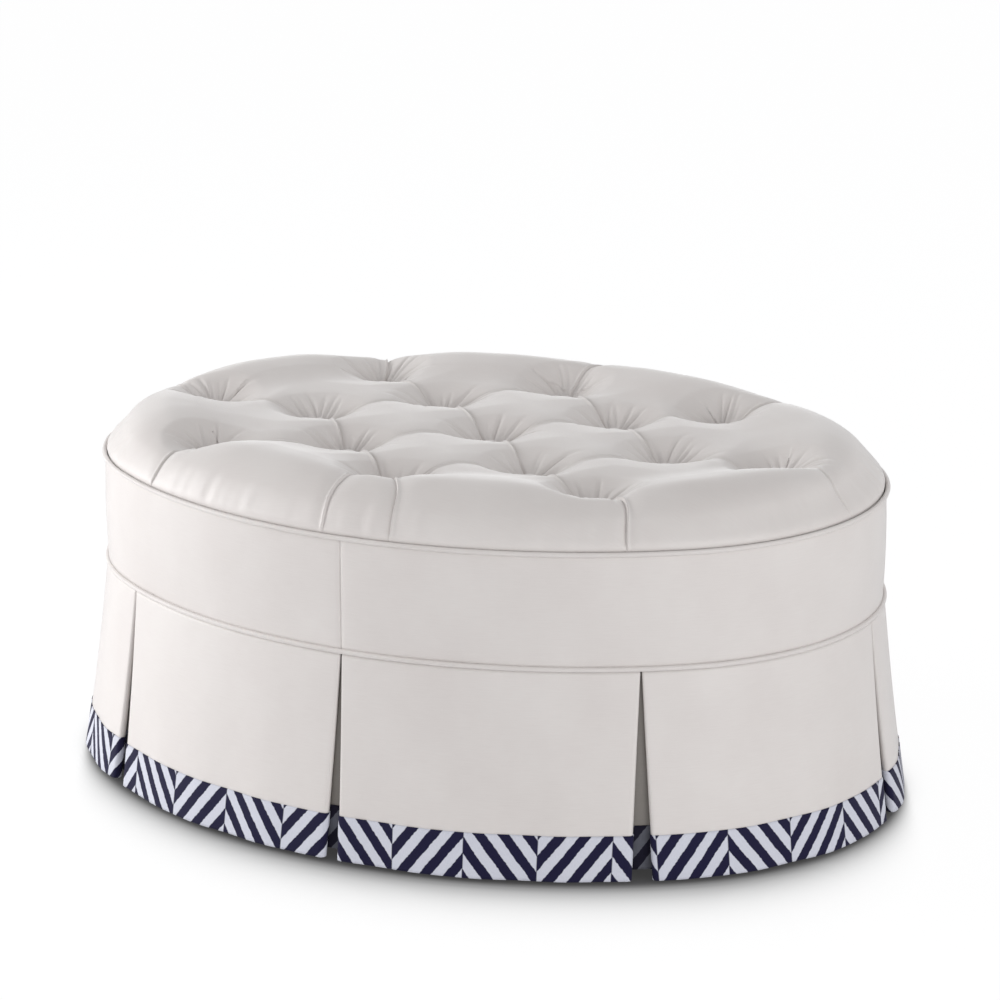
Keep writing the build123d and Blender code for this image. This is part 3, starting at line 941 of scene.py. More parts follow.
    def pleat_line(self, pleat: Pleat) -> np.ndarray:
        """The line of a pleat from its tuft to the welt, in the laid-out cover.

        Args:
            pleat: the pleat.

        Returns:
            Points along it.
        """
        start = self.tufts[pleat.tuft]
        angle = self.oval.angle(np.array([pleat.end_share]))
        end = self.oval.points(angle, self.edge_way[-1] - self.roll)[0]
        shoulder = self.oval.points(angle, -0.02)[0]
        outward = np.array([math.cos(angle[0]), math.sin(angle[0])])
        across = np.array([-outward[1], outward[0]])
        early = start + (shoulder - start) * 0.45 + across * pleat.bow
        late = start + (shoulder - start) * 0.85 + across * pleat.bow * 0.6
        return smooth_line(np.stack([start, early, late, shoulder * 0.4 + end * 0.6, end]), 6)

    def seeds(self) -> tuple[np.ndarray, np.ndarray, int]:
        """Points of the laid-out cover: along the folds, beside them, round the edge and between.

        Returns:
            The points, the edges that the mesh has to follow and the number of points on the rim.
        """
        reach = self.edge_way[-1] - self.roll
        shares = np.arange(self.rim_count) / self.rim_count
        rim = self.oval.points(self.oval.angle(shares), reach)
        points = [rim]
        count = len(rim)
        edges = [np.stack([np.arange(count), (np.arange(count) + 1) % count], 1)]
        lines = self.folds + self.edges
        dense = [resampled(line, self.line_step) for line in lines]
        for number, line in enumerate(dense):
            if number >= len(self.folds):
                line = line[:-1]
            points.append(line)
            index = count + np.arange(len(line))
            edges.append(np.stack([index[:-1], index[1:]], 1))
            count += len(line)
        for number, line in enumerate(dense):
            way = np.gradient(line, axis=0)
            way /= np.linalg.norm(way, axis=1)[:, None]
            across = np.stack([-way[:, 1], way[:, 0]], 1)
            for offset in self.row_offsets:
                for side in (-1, 1):
                    row = line + side * offset * across
                    keep = np.ones(len(row), bool)
                    for other, rival in enumerate(lines):
                        if other != number:
                            keep &= np.abs(near_line(row, rival)[0]) > 0.9 * offset + 0.0004
                    points.append(row[keep & (self.oval.locate(row)[1] < reach - 0.001)])
        for grow in (reach - 0.0015, reach - 0.0035, reach - 0.006):
            points.append(self.oval.points(self.oval.angle(shares + 0.0005), grow))
        rng = np.random.default_rng(self.seed)
        wide = self.oval.half_length + reach
        deep = self.oval.half_width + reach
        for size, fine in ((self.lattice, False), (self.fine_lattice, True)):
            x, y = np.meshgrid(np.arange(-wide, wide, size), np.arange(-deep, deep, size * 0.866))
            x = x + np.where(np.arange(len(x))[:, None] % 2, size / 2, 0)
            lattice = np.stack([x.ravel(), y.ravel()], 1)
            gap = np.min([np.hypot(*(lattice - tuft).T) for tuft in self.tufts], axis=0)
            lattice = lattice[gap < self.fine_reach if fine else gap > self.fine_reach + size / 2]
            lattice += rng.uniform(-0.12, 0.12, lattice.shape) * size
            keep = self.oval.locate(lattice)[1] < reach - 0.008
            for line in lines:
                keep &= np.abs(near_line(lattice, line)[0]) > self.row_offsets[-1] + 0.6 * size
            points.append(lattice[keep])
        return np.vstack(points), np.vstack(edges), len(rim)

    def bare(self, places: np.ndarray) -> tuple[np.ndarray, np.ndarray, np.ndarray]:
        """The crown without tufts, for places in the laid-out cover.

        Args:
            places: the places.

        Returns:
            Points, outward directions and the way down the edge, 0 on the flat.
        """
        angle, grow = self.oval.locate(places)
        down = np.maximum(grow + self.roll, 0)
        out = np.interp(down, self.edge_way, self.edge_line[:, 0])
        up = np.interp(down, self.edge_way, self.edge_line[:, 1])
        slack_height = self.slack_share * (self.top - self.base)
        out -= self.end_slack * np.cos(angle) ** 2 * bump_shape(up, slack_height, self.slack_width)
        slope_out = np.gradient(self.edge_line[:, 0], self.edge_way)
        slope_up = np.gradient(self.edge_line[:, 1], self.edge_way)
        run = np.interp(down, self.edge_way, slope_out)
        fall = np.interp(down, self.edge_way, slope_up)
        size = np.hypot(run, fall)
        over = down > 0
        flat = np.where(over[:, None], self.oval.points(angle, np.where(over, out, 0)), places)
        sunk = self.dish * ramp(-grow, self.dish_start, self.dish_end)
        points = np.column_stack([flat, self.base + np.where(over, up, self.top - self.base) - sunk])
        level = np.where(over, -fall / size, 0)
        upward = np.where(over, run / size, 1)
        normals = np.column_stack([level * np.cos(angle), level * np.sin(angle), upward])
        return points, normals, down

    def depth(self, places: np.ndarray, height: np.ndarray, down: np.ndarray) -> np.ndarray:
        """How deep the cover lies below the bare crown.

        Args:
            places: places in the laid-out cover.
            height: the bare crown's height over its seam at each place.
            down: the way down the edge.

        Returns:
            The depths.
        """
        power = 6.0
        wells = np.zeros(len(places))
        gathers = np.zeros(len(places))
        rng = np.random.default_rng(self.seed)
        for place in self.tufts:
            off = places - place
            radius = np.hypot(off[:, 0], off[:, 1])
            full = height[np.argmin(radius)] - self.well_floor
            away = np.maximum(radius - self.well_radius, 0)
            cone = np.clip(1 - away / self.cone_reach, 0, 1) ** self.cone_power
            bowl = np.clip(1 - away / self.bowl_reach, 0, 1) ** self.bowl_power
            wells += (full * (self.cone_share * cone + (1 - self.cone_share) * bowl)) ** power
            near = radius < self.gather_reach
            gathers[near] += self.gathers(off[near], radius[near], rng)
        wells = wells ** (1 / power)
        valleys = np.zeros(len(places))
        fine = np.zeros(len(places))
        for fold, line in zip(self.fold_list, self.folds):
            side, share = near_line(places, line)
            length = np.linalg.norm(np.diff(line, axis=0), axis=1).sum()
            away = np.minimum(share, 1 - share) * length
            near_tuft = bump_shape(away, self.valley_place, self.valley_spread)
            run = self.valley + self.valley_near * near_tuft + fold.sag
            dip = np.clip(1 - np.abs(side) / self.valley_width, 0, 1) ** self.valley_power
            valleys += (run * dip * ramp(away, 0.0, 0.012)) ** power
            fade = ramp(away, 0.004, 0.016)
            fine += self.crease(side * fold.lip, fold.slit) * fade
            if fold.echo:
                middle = ramp(away, 0.018, 0.045) * fold.echo
                for aside, width, size in self.echo_rows:
                    fine += size * bump_shape(side * fold.lip, aside, width) * middle
        for pleat, line in zip(self.pleats, self.edges):
            side, share = near_line(places, line)
            length = np.linalg.norm(np.diff(line, axis=0), axis=1).sum()
            away = share * length
            run = np.interp(away, [*self.pleat_ways, length], self.pleat_depths)
            width = np.interp(away, [0, 0.06, length], [0.034, 0.030, 0.012])
            dip = np.clip(1 - np.abs(side) / width, 0, 1) ** self.valley_power
            valleys += (run * pleat.strength * dip) ** power
            fine += self.crease(side * pleat.lip, self.pleat_slit) * ramp(away, 0.006, 0.02) * pleat.strength
        valleys = valleys ** (1 / power)
        limit = ramp(self.edge_way[-1] - down, 0.0, 0.012)
        return (wells + valleys + fine + gathers + self.ripples(places, down)) * (0.2 + 0.8 * limit)

    def ripples(self, places: np.ndarray, down: np.ndarray) -> np.ndarray:
        """Soft upright ripples where the cover is drawn into the seam.

        Args:
            places: places in the laid-out cover.
            down: the way down the edge.

        Returns:
            Extra depth.
        """
        angle = self.oval.locate(places)[0]
        turn = (angle - self.oval.turns[0]) % (2 * math.pi) + self.oval.turns[0]
        lap = np.interp(turn, self.oval.turns, self.oval.ways) / self.oval.way * 2 * math.pi
        wave = sum(
            size * np.sin(count * lap + count) for count, size in zip(self.ripple_counts, self.ripple_sizes)
        )
        patches = 0.6 + 0.4 * np.sin(11 * lap + 0.7)
        seam = self.edge_way[-1]
        return wave * patches * ramp(down, seam - 0.060, seam - 0.018)

    def crease(self, side: np.ndarray, slit: float) -> np.ndarray:
        """A folded edge that lies over the cloth beside it.

        Args:
            side: signed distance from the fold, positive under the lip.
            slit: depth of the gap under the lip's edge.

        Returns:
            Extra depth, negative on the lip.
        """
        past = np.clip(side - self.lip_start, 0, None) / self.lip_width
        over = np.clip(side / self.lip_start, 0, 1) * np.exp(-(past**2))
        under = np.where(side <= 0, np.exp(np.clip(side, None, 0) / self.under_reach), 0)
        gap = slit * bump_shape(side, -0.0006, 0.0010)
        return self.step * under + gap - self.lip_height * over

    def gathers(self, off: np.ndarray, radius: np.ndarray, rng: np.random.Generator) -> np.ndarray:
        """Small gathers that run into a tuft from all round.

        Args:
            off: places relative to the tuft.
            radius: their distances from it.
            rng: source of the gathers' directions and lengths.

        Returns:
            Extra depth.
        """
        turn = np.arctan2(off[:, 1], off[:, 0])
        total = np.zeros(len(off))
        count = int(rng.integers(17, 22))
        for number in range(count):
            middle = 2 * math.pi * (number + rng.uniform(-0.32, 0.32)) / count
            curl = rng.uniform(-5, 5)
            length = rng.uniform(*self.gather_lengths)
            depth = rng.uniform(*self.gather_depths)
            aside = (turn - middle - curl * (radius - 0.02) + math.pi) % (2 * math.pi) - math.pi
            width = 0.0010 + 0.034 * radius
            fade = ramp(radius, 0.006, 0.015) * (1 - ramp(radius, 0.35 * length, length))
            total += depth * np.exp(-((aside * radius / width) ** 2)) * fade
        return total

    def build(self, room: Workroom) -> bpy.types.Object:
        """Build the cover.

        Args:
            room: the finishes.

        Returns:
            The finished piece.
        """
        places, edges, rim = self.seeds()
        found = geometry.delaunay_2d_cdt([Vector(p) for p in places], edges.tolist(), [], 0, 1e-5, False)
        places = np.array([tuple(p) for p in found[0]])
        faces = np.array(found[2])
        points, normals, down = self.bare(places)
        points = points - normals * self.depth(places, points[:, 2] - self.base, down)[:, None]
        a, b, c = (places[faces[:, k]] for k in range(3))
        turned = (b[:, 0] - a[:, 0]) * (c[:, 1] - a[:, 1]) < (b[:, 1] - a[:, 1]) * (c[:, 0] - a[:, 0])
        faces[turned] = faces[turned][:, ::-1]
        order = np.argsort(self.oval.locate(places[:rim])[0])
        middle = len(points)
        points = np.vstack([points, [0, 0, self.base]])
        places = np.vstack([places, [0, 0]])
        faces = np.vstack([faces, fan(order, middle, flip=True)])
        piece = mesh_object("tufted_cover", points, faces, places)
        sew_on(piece, room.ivory, "cover_cloth", "tufted_top")
        return piece


# Band, piping and skirt


@dataclass
class Band:
    """The boxed band in two lengths of cloth over its wadding."""

    oval: Oval
    base: float
    top: float
    cloth: float = 0.0016
    bulge: float = 0.0016
    seam_gap: float = 0.0003
    overlap: float = 0.003
    rows: int = 26
    columns: int = 420
    seed: int = 11

    def half(self, side: Side, room: Workroom) -> bpy.types.Object:
        """Build the length of cloth round one end.

        Args:
            side: the end that it covers.
            room: the finishes.

        Returns:
            The finished piece.
        """
        gap = self.seam_gap / self.oval.way
        start = gap if side is Side.RIGHT else 0.5 + gap
        end = start + 0.5 - 2 * gap
        shares = np.linspace(start, end, self.columns)
        heights = np.linspace(self.base - self.overlap, self.top + self.overlap, self.rows)
        rng = np.random.default_rng(self.seed + side.value)
        share, height = np.meshgrid(shares, heights)
        up = (height - self.base) / (self.top - self.base)
        along = share * self.oval.way
        seam = np.minimum(share - start, end - share) * self.oval.way
        pull = 1 - 0.85 * np.exp(-seam / 0.012)
        ease = waves(along, rng, (0.31, 0.17, 0.093)) * 0.0005
        grow = (self.bulge * np.sin(np.clip(up, 0, 1) * math.pi) + ease) * pull - self.cloth / 2
        grow -= 0.0008 * np.exp(-((seam / 0.0016) ** 2))
        flat = self.oval.points(self.oval.angle(share), grow)
        points = np.concatenate([flat, height[..., None]], -1).reshape(-1, 3)
        uv = np.stack([along, height], -1).reshape(-1, 2)
        name = f"band_cloth_{side.name.lower()}"
        piece = mesh_object(name, points, grid_faces(self.rows, self.columns), uv)
        thicken(piece, self.cloth)
        sew_on(piece, room.ivory, "cover_cloth", f"band_{side.name.lower()}")
        return piece

    def wadding(self, room: Workroom) -> bpy.types.Object:
        """Build the wadding under the band.

        Args:
            room: the finishes.

        Returns:
            The finished piece.
        """
        low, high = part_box("band_padding")
        face = high.x - self.oval.half_length - 0.0012
        back = face - 0.0088
        shares = np.linspace(0, 1, 480, endpoint=False)
        profile = smooth_line(np.array([
            (back, low.z + 0.0006), (face - 0.003, low.z + 0.0006), (face, low.z + 0.006),
            (face, (low.z + high.z) / 2),
            (face, high.z - 0.006), (face - 0.003, high.z - 0.0006), (back, high.z - 0.0006),
        ]), 5)
        profile = np.vstack([profile, smooth_line(profile[[-1, 0]], 4)[1:-1]])
        rng = np.random.default_rng(self.seed)
        angle = self.oval.angle(shares)
        ring = []
        for grow, height in profile:
            lump = 0.0004 * waves(shares * self.oval.way + 7 * height, rng, (0.5, 0.1, 0.05)) - 0.0004
            flat = self.oval.points(angle, grow + lump * (grow > back + 0.001))
            ring.append(np.column_stack([flat, np.full(len(flat), height)]))
        rows = len(ring)
        faces = grid_faces(rows, len(shares), wrap=True)
        last = (rows - 1) * len(shares)
        index = np.arange(len(shares))
        beyond = (index + 1) % len(shares)
        faces = np.vstack([faces, np.stack([last + index, last + beyond, beyond, index], 1)])
        piece = mesh_object("band_wadding", np.vstack(ring), faces)
        sew_on(piece, room.wadding, "wadding", "band_padding")
        return piece

    def build(self, room: Workroom) -> list[bpy.types.Object]:
        """Build the wadding and both lengths of cloth."""
        return [self.wadding(room), *[self.half(side, room) for side in Side]]


@dataclass
class Skirt:
    """Eight flared panels with folded ends, the flaps behind the pleats and their tapes."""

    oval: Oval
    hem: float
    top: float
    flare: float = 0.033
    panel_count: int = 8
    cloth: float = 0.0022
    tape_cloth: float = 0.0009
    tape_height: float = 0.051
    hem_gap: float = 0.024
    top_gap: float = 0.0016
    hem_fold: float = 0.0040
    top_fold: float = 0.0016
    tuck: float = 0.044
    flap_half: float = 0.060
    flap_lift: float = 0.008
    flap_setback: float = 0.015
    wave: float = 0.0022
    wave_lengths: tuple[float, ...] = (0.36, 0.21, 0.125, 0.083)
    rows: int = 56
    front_columns: int = 130
    fold_points: int = 11
    tuck_points: int = 12
    front_place: int = 300
    flap_columns: int = 40
    flap_shift: float = 0.11
    seed: int = 23
    pleat_shares: tuple[float, ...] = (0.0, 0.128, 0.2564, 0.378, 0.5, 0.622, 0.7436, 0.869)
    gap_shares: tuple[float, ...] = (0.7, 1.0, 0.95, 1.0, 0.8, 1.0, 0.95, 1.0)
    joint_places: tuple[float, ...] = (0.0787, 0.3870, 0.67, 0.99, 1.36, 1.68, 2.02, 2.8686)
    column_widths: tuple[float, ...] = (0.0847, 0.0836, 0.085, 0.085, 0.085, 0.085, 0.085, 0.0875)

    def at(self, hem: float, top: float, up: np.ndarray) -> np.ndarray:
        """A value that runs straight from the hem to the top."""
        return hem + (top - hem) * up

    def step(self, angle: float, length: float) -> float:
        """Angle that a length of the band's face takes."""
        return length / float(self.oval.arcs(np.array([angle]))[2][0])

    def pleat_angle(self, index: int) -> float:
        """Outward angle at a pleat, counted round from the front centre."""
        lap, place = divmod(index, self.panel_count)
        return float(self.oval.angle(np.array([lap + self.pleat_shares[place]]))[0])

    def path(self, index: int, up: float, off: float, tuck: float) -> tuple[np.ndarray, np.ndarray]:
        """The line of a panel's cloth at one height, from one folded end to the other.

        Args:
            index: the panel's number, from 0.
            up: share of the way from the hem to the top.
            off: distance outside the cloth's middle.
            tuck: length of cloth folded back at each end.

        Returns:
            Points with x and y last, and the share of the way round at each.
        """
        fold = self.at(self.hem_fold, self.top_fold, up)
        grow = self.at(self.flare - self.cloth / 2, self.cloth / 4, up)
        ends = []
        for pleat, side in ((index, 1), (index + 1, -1)):
            half_gap = self.at(self.hem_gap * self.gap_shares[pleat % self.panel_count], self.top_gap, up) / 2
            angle = self.pleat_angle(pleat)
            ends.append(angle + side * self.step(angle + side * 0.01, half_gap + fold + self.cloth / 2))
        start, end = ends
        half_turn = np.linspace(0, math.pi, self.fold_points)
        tips = np.linspace(1, 0, self.tuck_points)
        rear = grow - 2 * fold - off
        first = self.oval.points(start + tips * self.step(start + 0.01, tuck), rear)
        last = self.oval.points(end - tips[::-1] * self.step(end - 0.01, tuck), rear)
        round_first = self.turned(start, grow - fold, fold + off, math.pi + half_turn)
        round_last = self.turned(end, grow - fold, fold + off, half_turn)
        front_angles = np.linspace(start, end, self.front_columns)
        front = self.oval.points(front_angles, grow + off)
        points = np.vstack([first[:-1], round_first[:-1], front, round_last[1:], last[1:]])
        angles = np.concatenate([
            (start + tips * self.step(start + 0.01, tuck))[:-1], np.full(self.fold_points - 1, start),
            front_angles, np.full(self.fold_points - 1, end),
            (end - tips[::-1] * self.step(end - 0.01, tuck))[1:],
        ])
        return points, angles

    def turned(self, angle: float, grow: float, radius: float, turns: np.ndarray) -> np.ndarray:
        """Points on the small circle round a fold."""
        centre = self.oval.points(np.array([angle]), grow)[0]
        return centre + radius * np.stack([np.cos(angle + turns), np.sin(angle + turns)], 1)

    def cloth_points(
        self, index: int, heights: np.ndarray, off: float, tuck: float
    ) -> tuple[np.ndarray, np.ndarray]:
        """A panel's cloth, or the tape on it, as a grid of points.

        Args:
            index: the panel's number, from 0.
            heights: heights of the rows.
            off: distance outside the cloth's middle.
            tuck: length of cloth folded back at each end.

        Returns:
            The points row by row, and each one's place in the cloth's plane.
        """
        rng = np.random.default_rng(self.seed + index)
        phases = rng.uniform(0, 2 * math.pi, len(self.wave_lengths))
        weights = rng.uniform(0.5, 1.0, len(self.wave_lengths))
        rows = []
        for height in heights:
            up = (height - self.hem) / (self.top - self.hem)
            points, angles = self.path(index, up, off, tuck)
            outward = np.stack([np.cos(angles), np.sin(angles)], 1)
            along = np.interp(angles, self.fine_angles(), self.fine_ways())
            wave = sum(
                weight * np.sin(2 * math.pi * along / length + phase + 0.6 * up)
                for weight, length, phase in zip(weights, self.wave_lengths, phases)
            )
            swell = self.wave * (1 - up) ** 1.3 * wave * 0.5 - 0.0016 * math.sin(math.pi * min(up, 1))
            points = points + outward * swell[:, None]
            rows.append(np.column_stack([points, np.full(len(points), height)]))
            if height == heights[0]:
                hem_way = np.concatenate([[0], np.cumsum(np.linalg.norm(np.diff(points, axis=0), axis=1))])
        front = len(hem_way) // 2
        along_hem = hem_way - hem_way[front] + np.interp(angles[front], self.fine_angles(), self.hem_ways())
        uv = [np.column_stack([along_hem, np.full(len(along_hem), height)]) for height in heights]
        return np.vstack(rows), np.vstack(uv)

    def fine_shares(self) -> np.ndarray:
        """Shares of the way round in thousandths, from 0.3 before the front centre to 0.3 past a lap."""
        return np.linspace(-0.3, 1.3, 1601)

    def fine_angles(self) -> np.ndarray:
        """Outward angles at those shares."""
        return self.oval.angle(self.fine_shares())

    def fine_ways(self) -> np.ndarray:
        """Way round the band's face at those angles."""
        return self.fine_shares() * self.oval.way

    def hem_ways(self) -> np.ndarray:
        """Way round the hem at those angles.

        Returns:
            The ways, 0 at the front centre.
        """
        line = self.oval.points(self.fine_angles(), self.flare)
        way = np.concatenate([[0], np.cumsum(np.linalg.norm(np.diff(line, axis=0), axis=1))])
        return way - way[self.front_place]

    def panel(self, index: int, room: Workroom) -> bpy.types.Object:
        """Build a panel and the tape on its hem.

        Args:
            index: the panel's number, from 0.
            room: the finishes.

        Returns:
            The panel.
        """
        heights = np.linspace(self.hem, self.top, self.rows)
        points, uv = self.cloth_points(index, heights, 0.0, self.tuck)
        faces = grid_faces(len(heights), len(points) // len(heights))
        piece = mesh_object(f"skirt_cloth_{index + 1}", points, faces, uv)
        thicken(piece, self.cloth)
        sew_on(piece, room.ivory, "cover_cloth", f"skirt_panel_{index + 1}")
        off = self.cloth / 2 + 0.0002 + self.tape_cloth / 2
        tape_heights = np.linspace(self.hem - 0.0008, self.hem + self.tape_height, 16)
        tape_points, tape_uv = self.cloth_points(index, tape_heights, off, self.tuck / 2)
        tape_uv = tape_uv - (self.joint_places[index], self.hem)
        tape_uv[:, 0] *= ChevronTape.column / self.column_widths[index]
        tape_uv[:, 0] += ChevronTape.column
        faces = grid_faces(len(tape_heights), len(tape_points) // len(tape_heights))
        tape = mesh_object(f"chevron_tape_{index + 1}", tape_points, faces, tape_uv)
        thicken(tape, self.tape_cloth)
        sew_on(tape, room.tape, "hem_tape", f"hem_tape_{index + 1}")
        return piece

    def flap(self, index: int, room: Workroom) -> bpy.types.Object:
        """Build the flap behind a pleat and the tape on its hem.

        Args:
            index: the pleat's number, from 0 at the front centre.
            room: the finishes.

        Returns:
            The flap.
        """
        low = self.hem + self.flap_lift
        top_layer = self.cloth / 4 - 2 * self.top_fold - self.cloth - 0.00025
        hem_layer = self.flare - self.flap_setback
        angle = self.pleat_angle(index)
        reach = self.step(angle, self.flap_half)
        columns = self.flap_columns
        angles = np.linspace(angle - reach, angle + reach, columns)
        across = np.linspace(-self.flap_half, self.flap_half, columns)
        rng = np.random.default_rng(self.seed + 50 + index)
        ripple = waves(across, rng, (0.09, 0.05)) * 0.0008
        made = []
        spans = ((low, self.top, 40, 0.0), (low, low + self.tape_height, 14, self.cloth / 2 + 0.0007))
        for bottom, top, rows, off in spans:
            grid, plane = [], []
            for height in np.linspace(bottom, top, rows):
                up = (height - low) / (self.top - low)
                grow = self.at(hem_layer, top_layer, up) + off + ripple * (1 - up)
                flat = self.oval.points(angles, grow)
                grid.append(np.column_stack([flat, np.full(len(flat), height)]))
                plane.append(np.column_stack([across + self.flap_shift, np.full(columns, height - bottom)]))
            made.append((np.vstack(grid), grid_faces(rows, columns), np.vstack(plane)))
        piece = mesh_object(f"pleat_flap_{index + 1}", *made[0])
        thicken(piece, self.cloth)
        # The flap wears the darker copy of the ivory: painted shade of the pleat gap.
        sew_on(piece, room.pleat, "cover_cloth", f"pleat_backing_{index + 1}")
        tape = mesh_object(f"flap_tape_{index + 1}", *made[1])
        thicken(tape, self.tape_cloth)
        # The flap's tape is the darker copy: painted shade of the pleat gap.
        sew_on(tape, room.painted_shade_tape, "hem_tape", "backing_tapes")
        flat = (2 * self.flap_half, self.top - low)
        return piece

    def build(self, room: Workroom) -> list[bpy.types.Object]:
        """Build the panels and the flaps."""
        panels = [self.panel(index, room) for index in range(self.panel_count)]
        return panels + [self.flap(index, room) for index in range(self.panel_count)]


# What repeats along a line


class LineTree:
    """A geometry tree that grows a tube or a row of small pieces along an edge line."""

    def __init__(self, name: str) -> None:
        """Start a tree whose input is a mesh line, made a curve.

        Args:
            name: the tree's name.
        """
        self.tree = bpy.data.node_groups.new(name, "GeometryNodeTree")
        self.inputs: dict[str, str] = {}
        self.tree.interface.new_socket("Geometry", in_out="INPUT", socket_type="NodeSocketGeometry")
        self.tree.interface.new_socket("Geometry", in_out="OUTPUT", socket_type="NodeSocketGeometry")
        self.start = self.tree.nodes.new("NodeGroupInput")
        self.end = self.tree.nodes.new("NodeGroupOutput")
        self.curve = self.add("GeometryNodeMeshToCurve")
        self.link(self.start.outputs[0], self.curve.inputs[0])

    def add(self, kind: str, **settings: object) -> bpy.types.Node:
        """Add a node with these settings.

        Args:
            kind: the node's type.
            settings: its properties by name.

        Returns:
            The node.
        """
        node = self.tree.nodes.new(kind)
        for name, value in settings.items():
            setattr(node, name, value)
        return node

    def link(self, source: bpy.types.NodeSocket, target: bpy.types.NodeSocket) -> None:
        """Join two sockets."""
        self.tree.links.new(source, target)

    def size(self, name: str, kind: str = "NodeSocketFloat") -> bpy.types.NodeSocket:
        """Add a named input.

        Args:
            name: the input's name.
            kind: the socket's type.

        Returns:
            The input's socket inside the tree.
        """
        made = self.tree.interface.new_socket(name, in_out="INPUT", socket_type=kind)
        self.inputs[name] = made.identifier
        return next(socket for socket in self.start.outputs if socket.identifier == made.identifier)

    def finish(self, shape: bpy.types.NodeSocket) -> None:
        """End the tree in real geometry with its material.

        Args:
            shape: the socket of the geometry.
        """
        real = self.add("GeometryNodeRealizeInstances")
        dressed = self.add("GeometryNodeSetMaterial")
        self.link(shape, real.inputs[0])
        self.link(real.outputs[0], dressed.inputs[0])
        self.link(self.size("Material", "NodeSocketMaterial"), dressed.inputs["Material"])
        self.link(dressed.outputs[0], self.end.inputs[0])

    def grow(self, name: str, line: np.ndarray, closed: bool, **values: object) -> bpy.types.Object:
        """Grow the tree's geometry along lines and keep it as a plain mesh.

        Args:
            name: the new object's name.
            line: points of one line, or of several with a leading axis.
            closed: whether the lines close on themselves.
            values: the tree's inputs by name.

        Returns:
            The new object.
        """
        lines = line if line.ndim == 3 else line[None]
        count = lines.shape[1]
        index = np.arange(count if closed else count - 1)
        steps = np.stack([index, (index + 1) % count], 1)
        edges = np.vstack([steps + number * count for number in range(len(lines))])
        host = mesh_object(name, lines.reshape(-1, 3), np.empty((0, 3), int), edges=edges)
        grown = host.modifiers.new("grow", "NODES")
        grown.node_group = self.tree
        for key, value in values.items():
            grown[self.inputs[key.replace("_", " ").capitalize()]] = value
        bpy.context.view_layer.update()
        seen = bpy.context.evaluated_depsgraph_get()
        mesh = bpy.data.meshes.new_from_object(host.evaluated_get(seen))
        host.modifiers.remove(grown)
        spare = host.data
        host.data = mesh
        bpy.data.meshes.remove(spare)
        mesh.shade_smooth()
        return host


def tube_tree() -> LineTree:
    """A cloth-covered cord along the line, with bias wrinkles across it.

    Returns:
        The tree.
    """
    made = LineTree("covered_cord")
    ring = made.add("GeometryNodeCurvePrimitiveCircle")
    ring.inputs["Resolution"].default_value = 12
    made.link(made.size("Radius"), ring.inputs["Radius"])
    body = made.add("GeometryNodeCurveToMesh")
    made.link(made.curve.outputs[0], body.inputs[0])
    made.link(ring.outputs[0], body.inputs[1])
    place = made.add("GeometryNodeInputPosition")
    skewed = made.add("ShaderNodeTexNoise")
    skewed.inputs["Detail"].default_value = 2.0
    made.link(place.outputs[0], skewed.inputs["Vector"])
    made.link(made.size("Wrinkle scale"), skewed.inputs["Scale"])
    centred = made.add("ShaderNodeMath", operation="SUBTRACT")
    centred.inputs[1].default_value = 0.5
    made.link(skewed.outputs[0], centred.inputs[0])
    height = made.add("ShaderNodeMath", operation="MULTIPLY")
    made.link(centred.outputs[0], height.inputs[0])
    made.link(made.size("Wrinkle height"), height.inputs[1])
    normal = made.add("GeometryNodeInputNormal")
    push = made.add("ShaderNodeVectorMath", operation="SCALE")
    made.link(normal.outputs[0], push.inputs[0])
    made.link(height.outputs[0], push.inputs["Scale"])
    moved = made.add("GeometryNodeSetPosition")
    made.link(body.outputs[0], moved.inputs["Geometry"])
    made.link(push.outputs[0], moved.inputs["Offset"])
    made.finish(moved.outputs[0])
    return made


def stitch_tree() -> LineTree:
    """A row of small rounded stitches or staples along the line.

    Returns:
        The tree.
    """
    made = LineTree("stitch_row")
    points = made.add("GeometryNodeCurveToPoints", mode="LENGTH")
    made.link(made.curve.outputs[0], points.inputs[0])
    made.link(made.size("Pitch"), points.inputs["Length"])
    grain = made.add("GeometryNodeMeshUVSphere")
    grain.inputs["Segments"].default_value = 6
    grain.inputs["Rings"].default_value = 4
    made.link(made.size("Thread"), grain.inputs["Radius"])
    stretch = made.add("ShaderNodeCombineXYZ")
    stretch.inputs[0].default_value = 1.0
    stretch.inputs[1].default_value = 1.0
    made.link(made.size("Stretch"), stretch.inputs[2])
    placed = made.add("GeometryNodeInstanceOnPoints")
    made.link(points.outputs["Points"], placed.inputs["Points"])
    made.link(grain.outputs[0], placed.inputs["Instance"])
    made.link(points.outputs["Rotation"], placed.inputs["Rotation"])
    made.link(stretch.outputs[0], placed.inputs["Scale"])
    made.finish(placed.outputs[0])
    return made


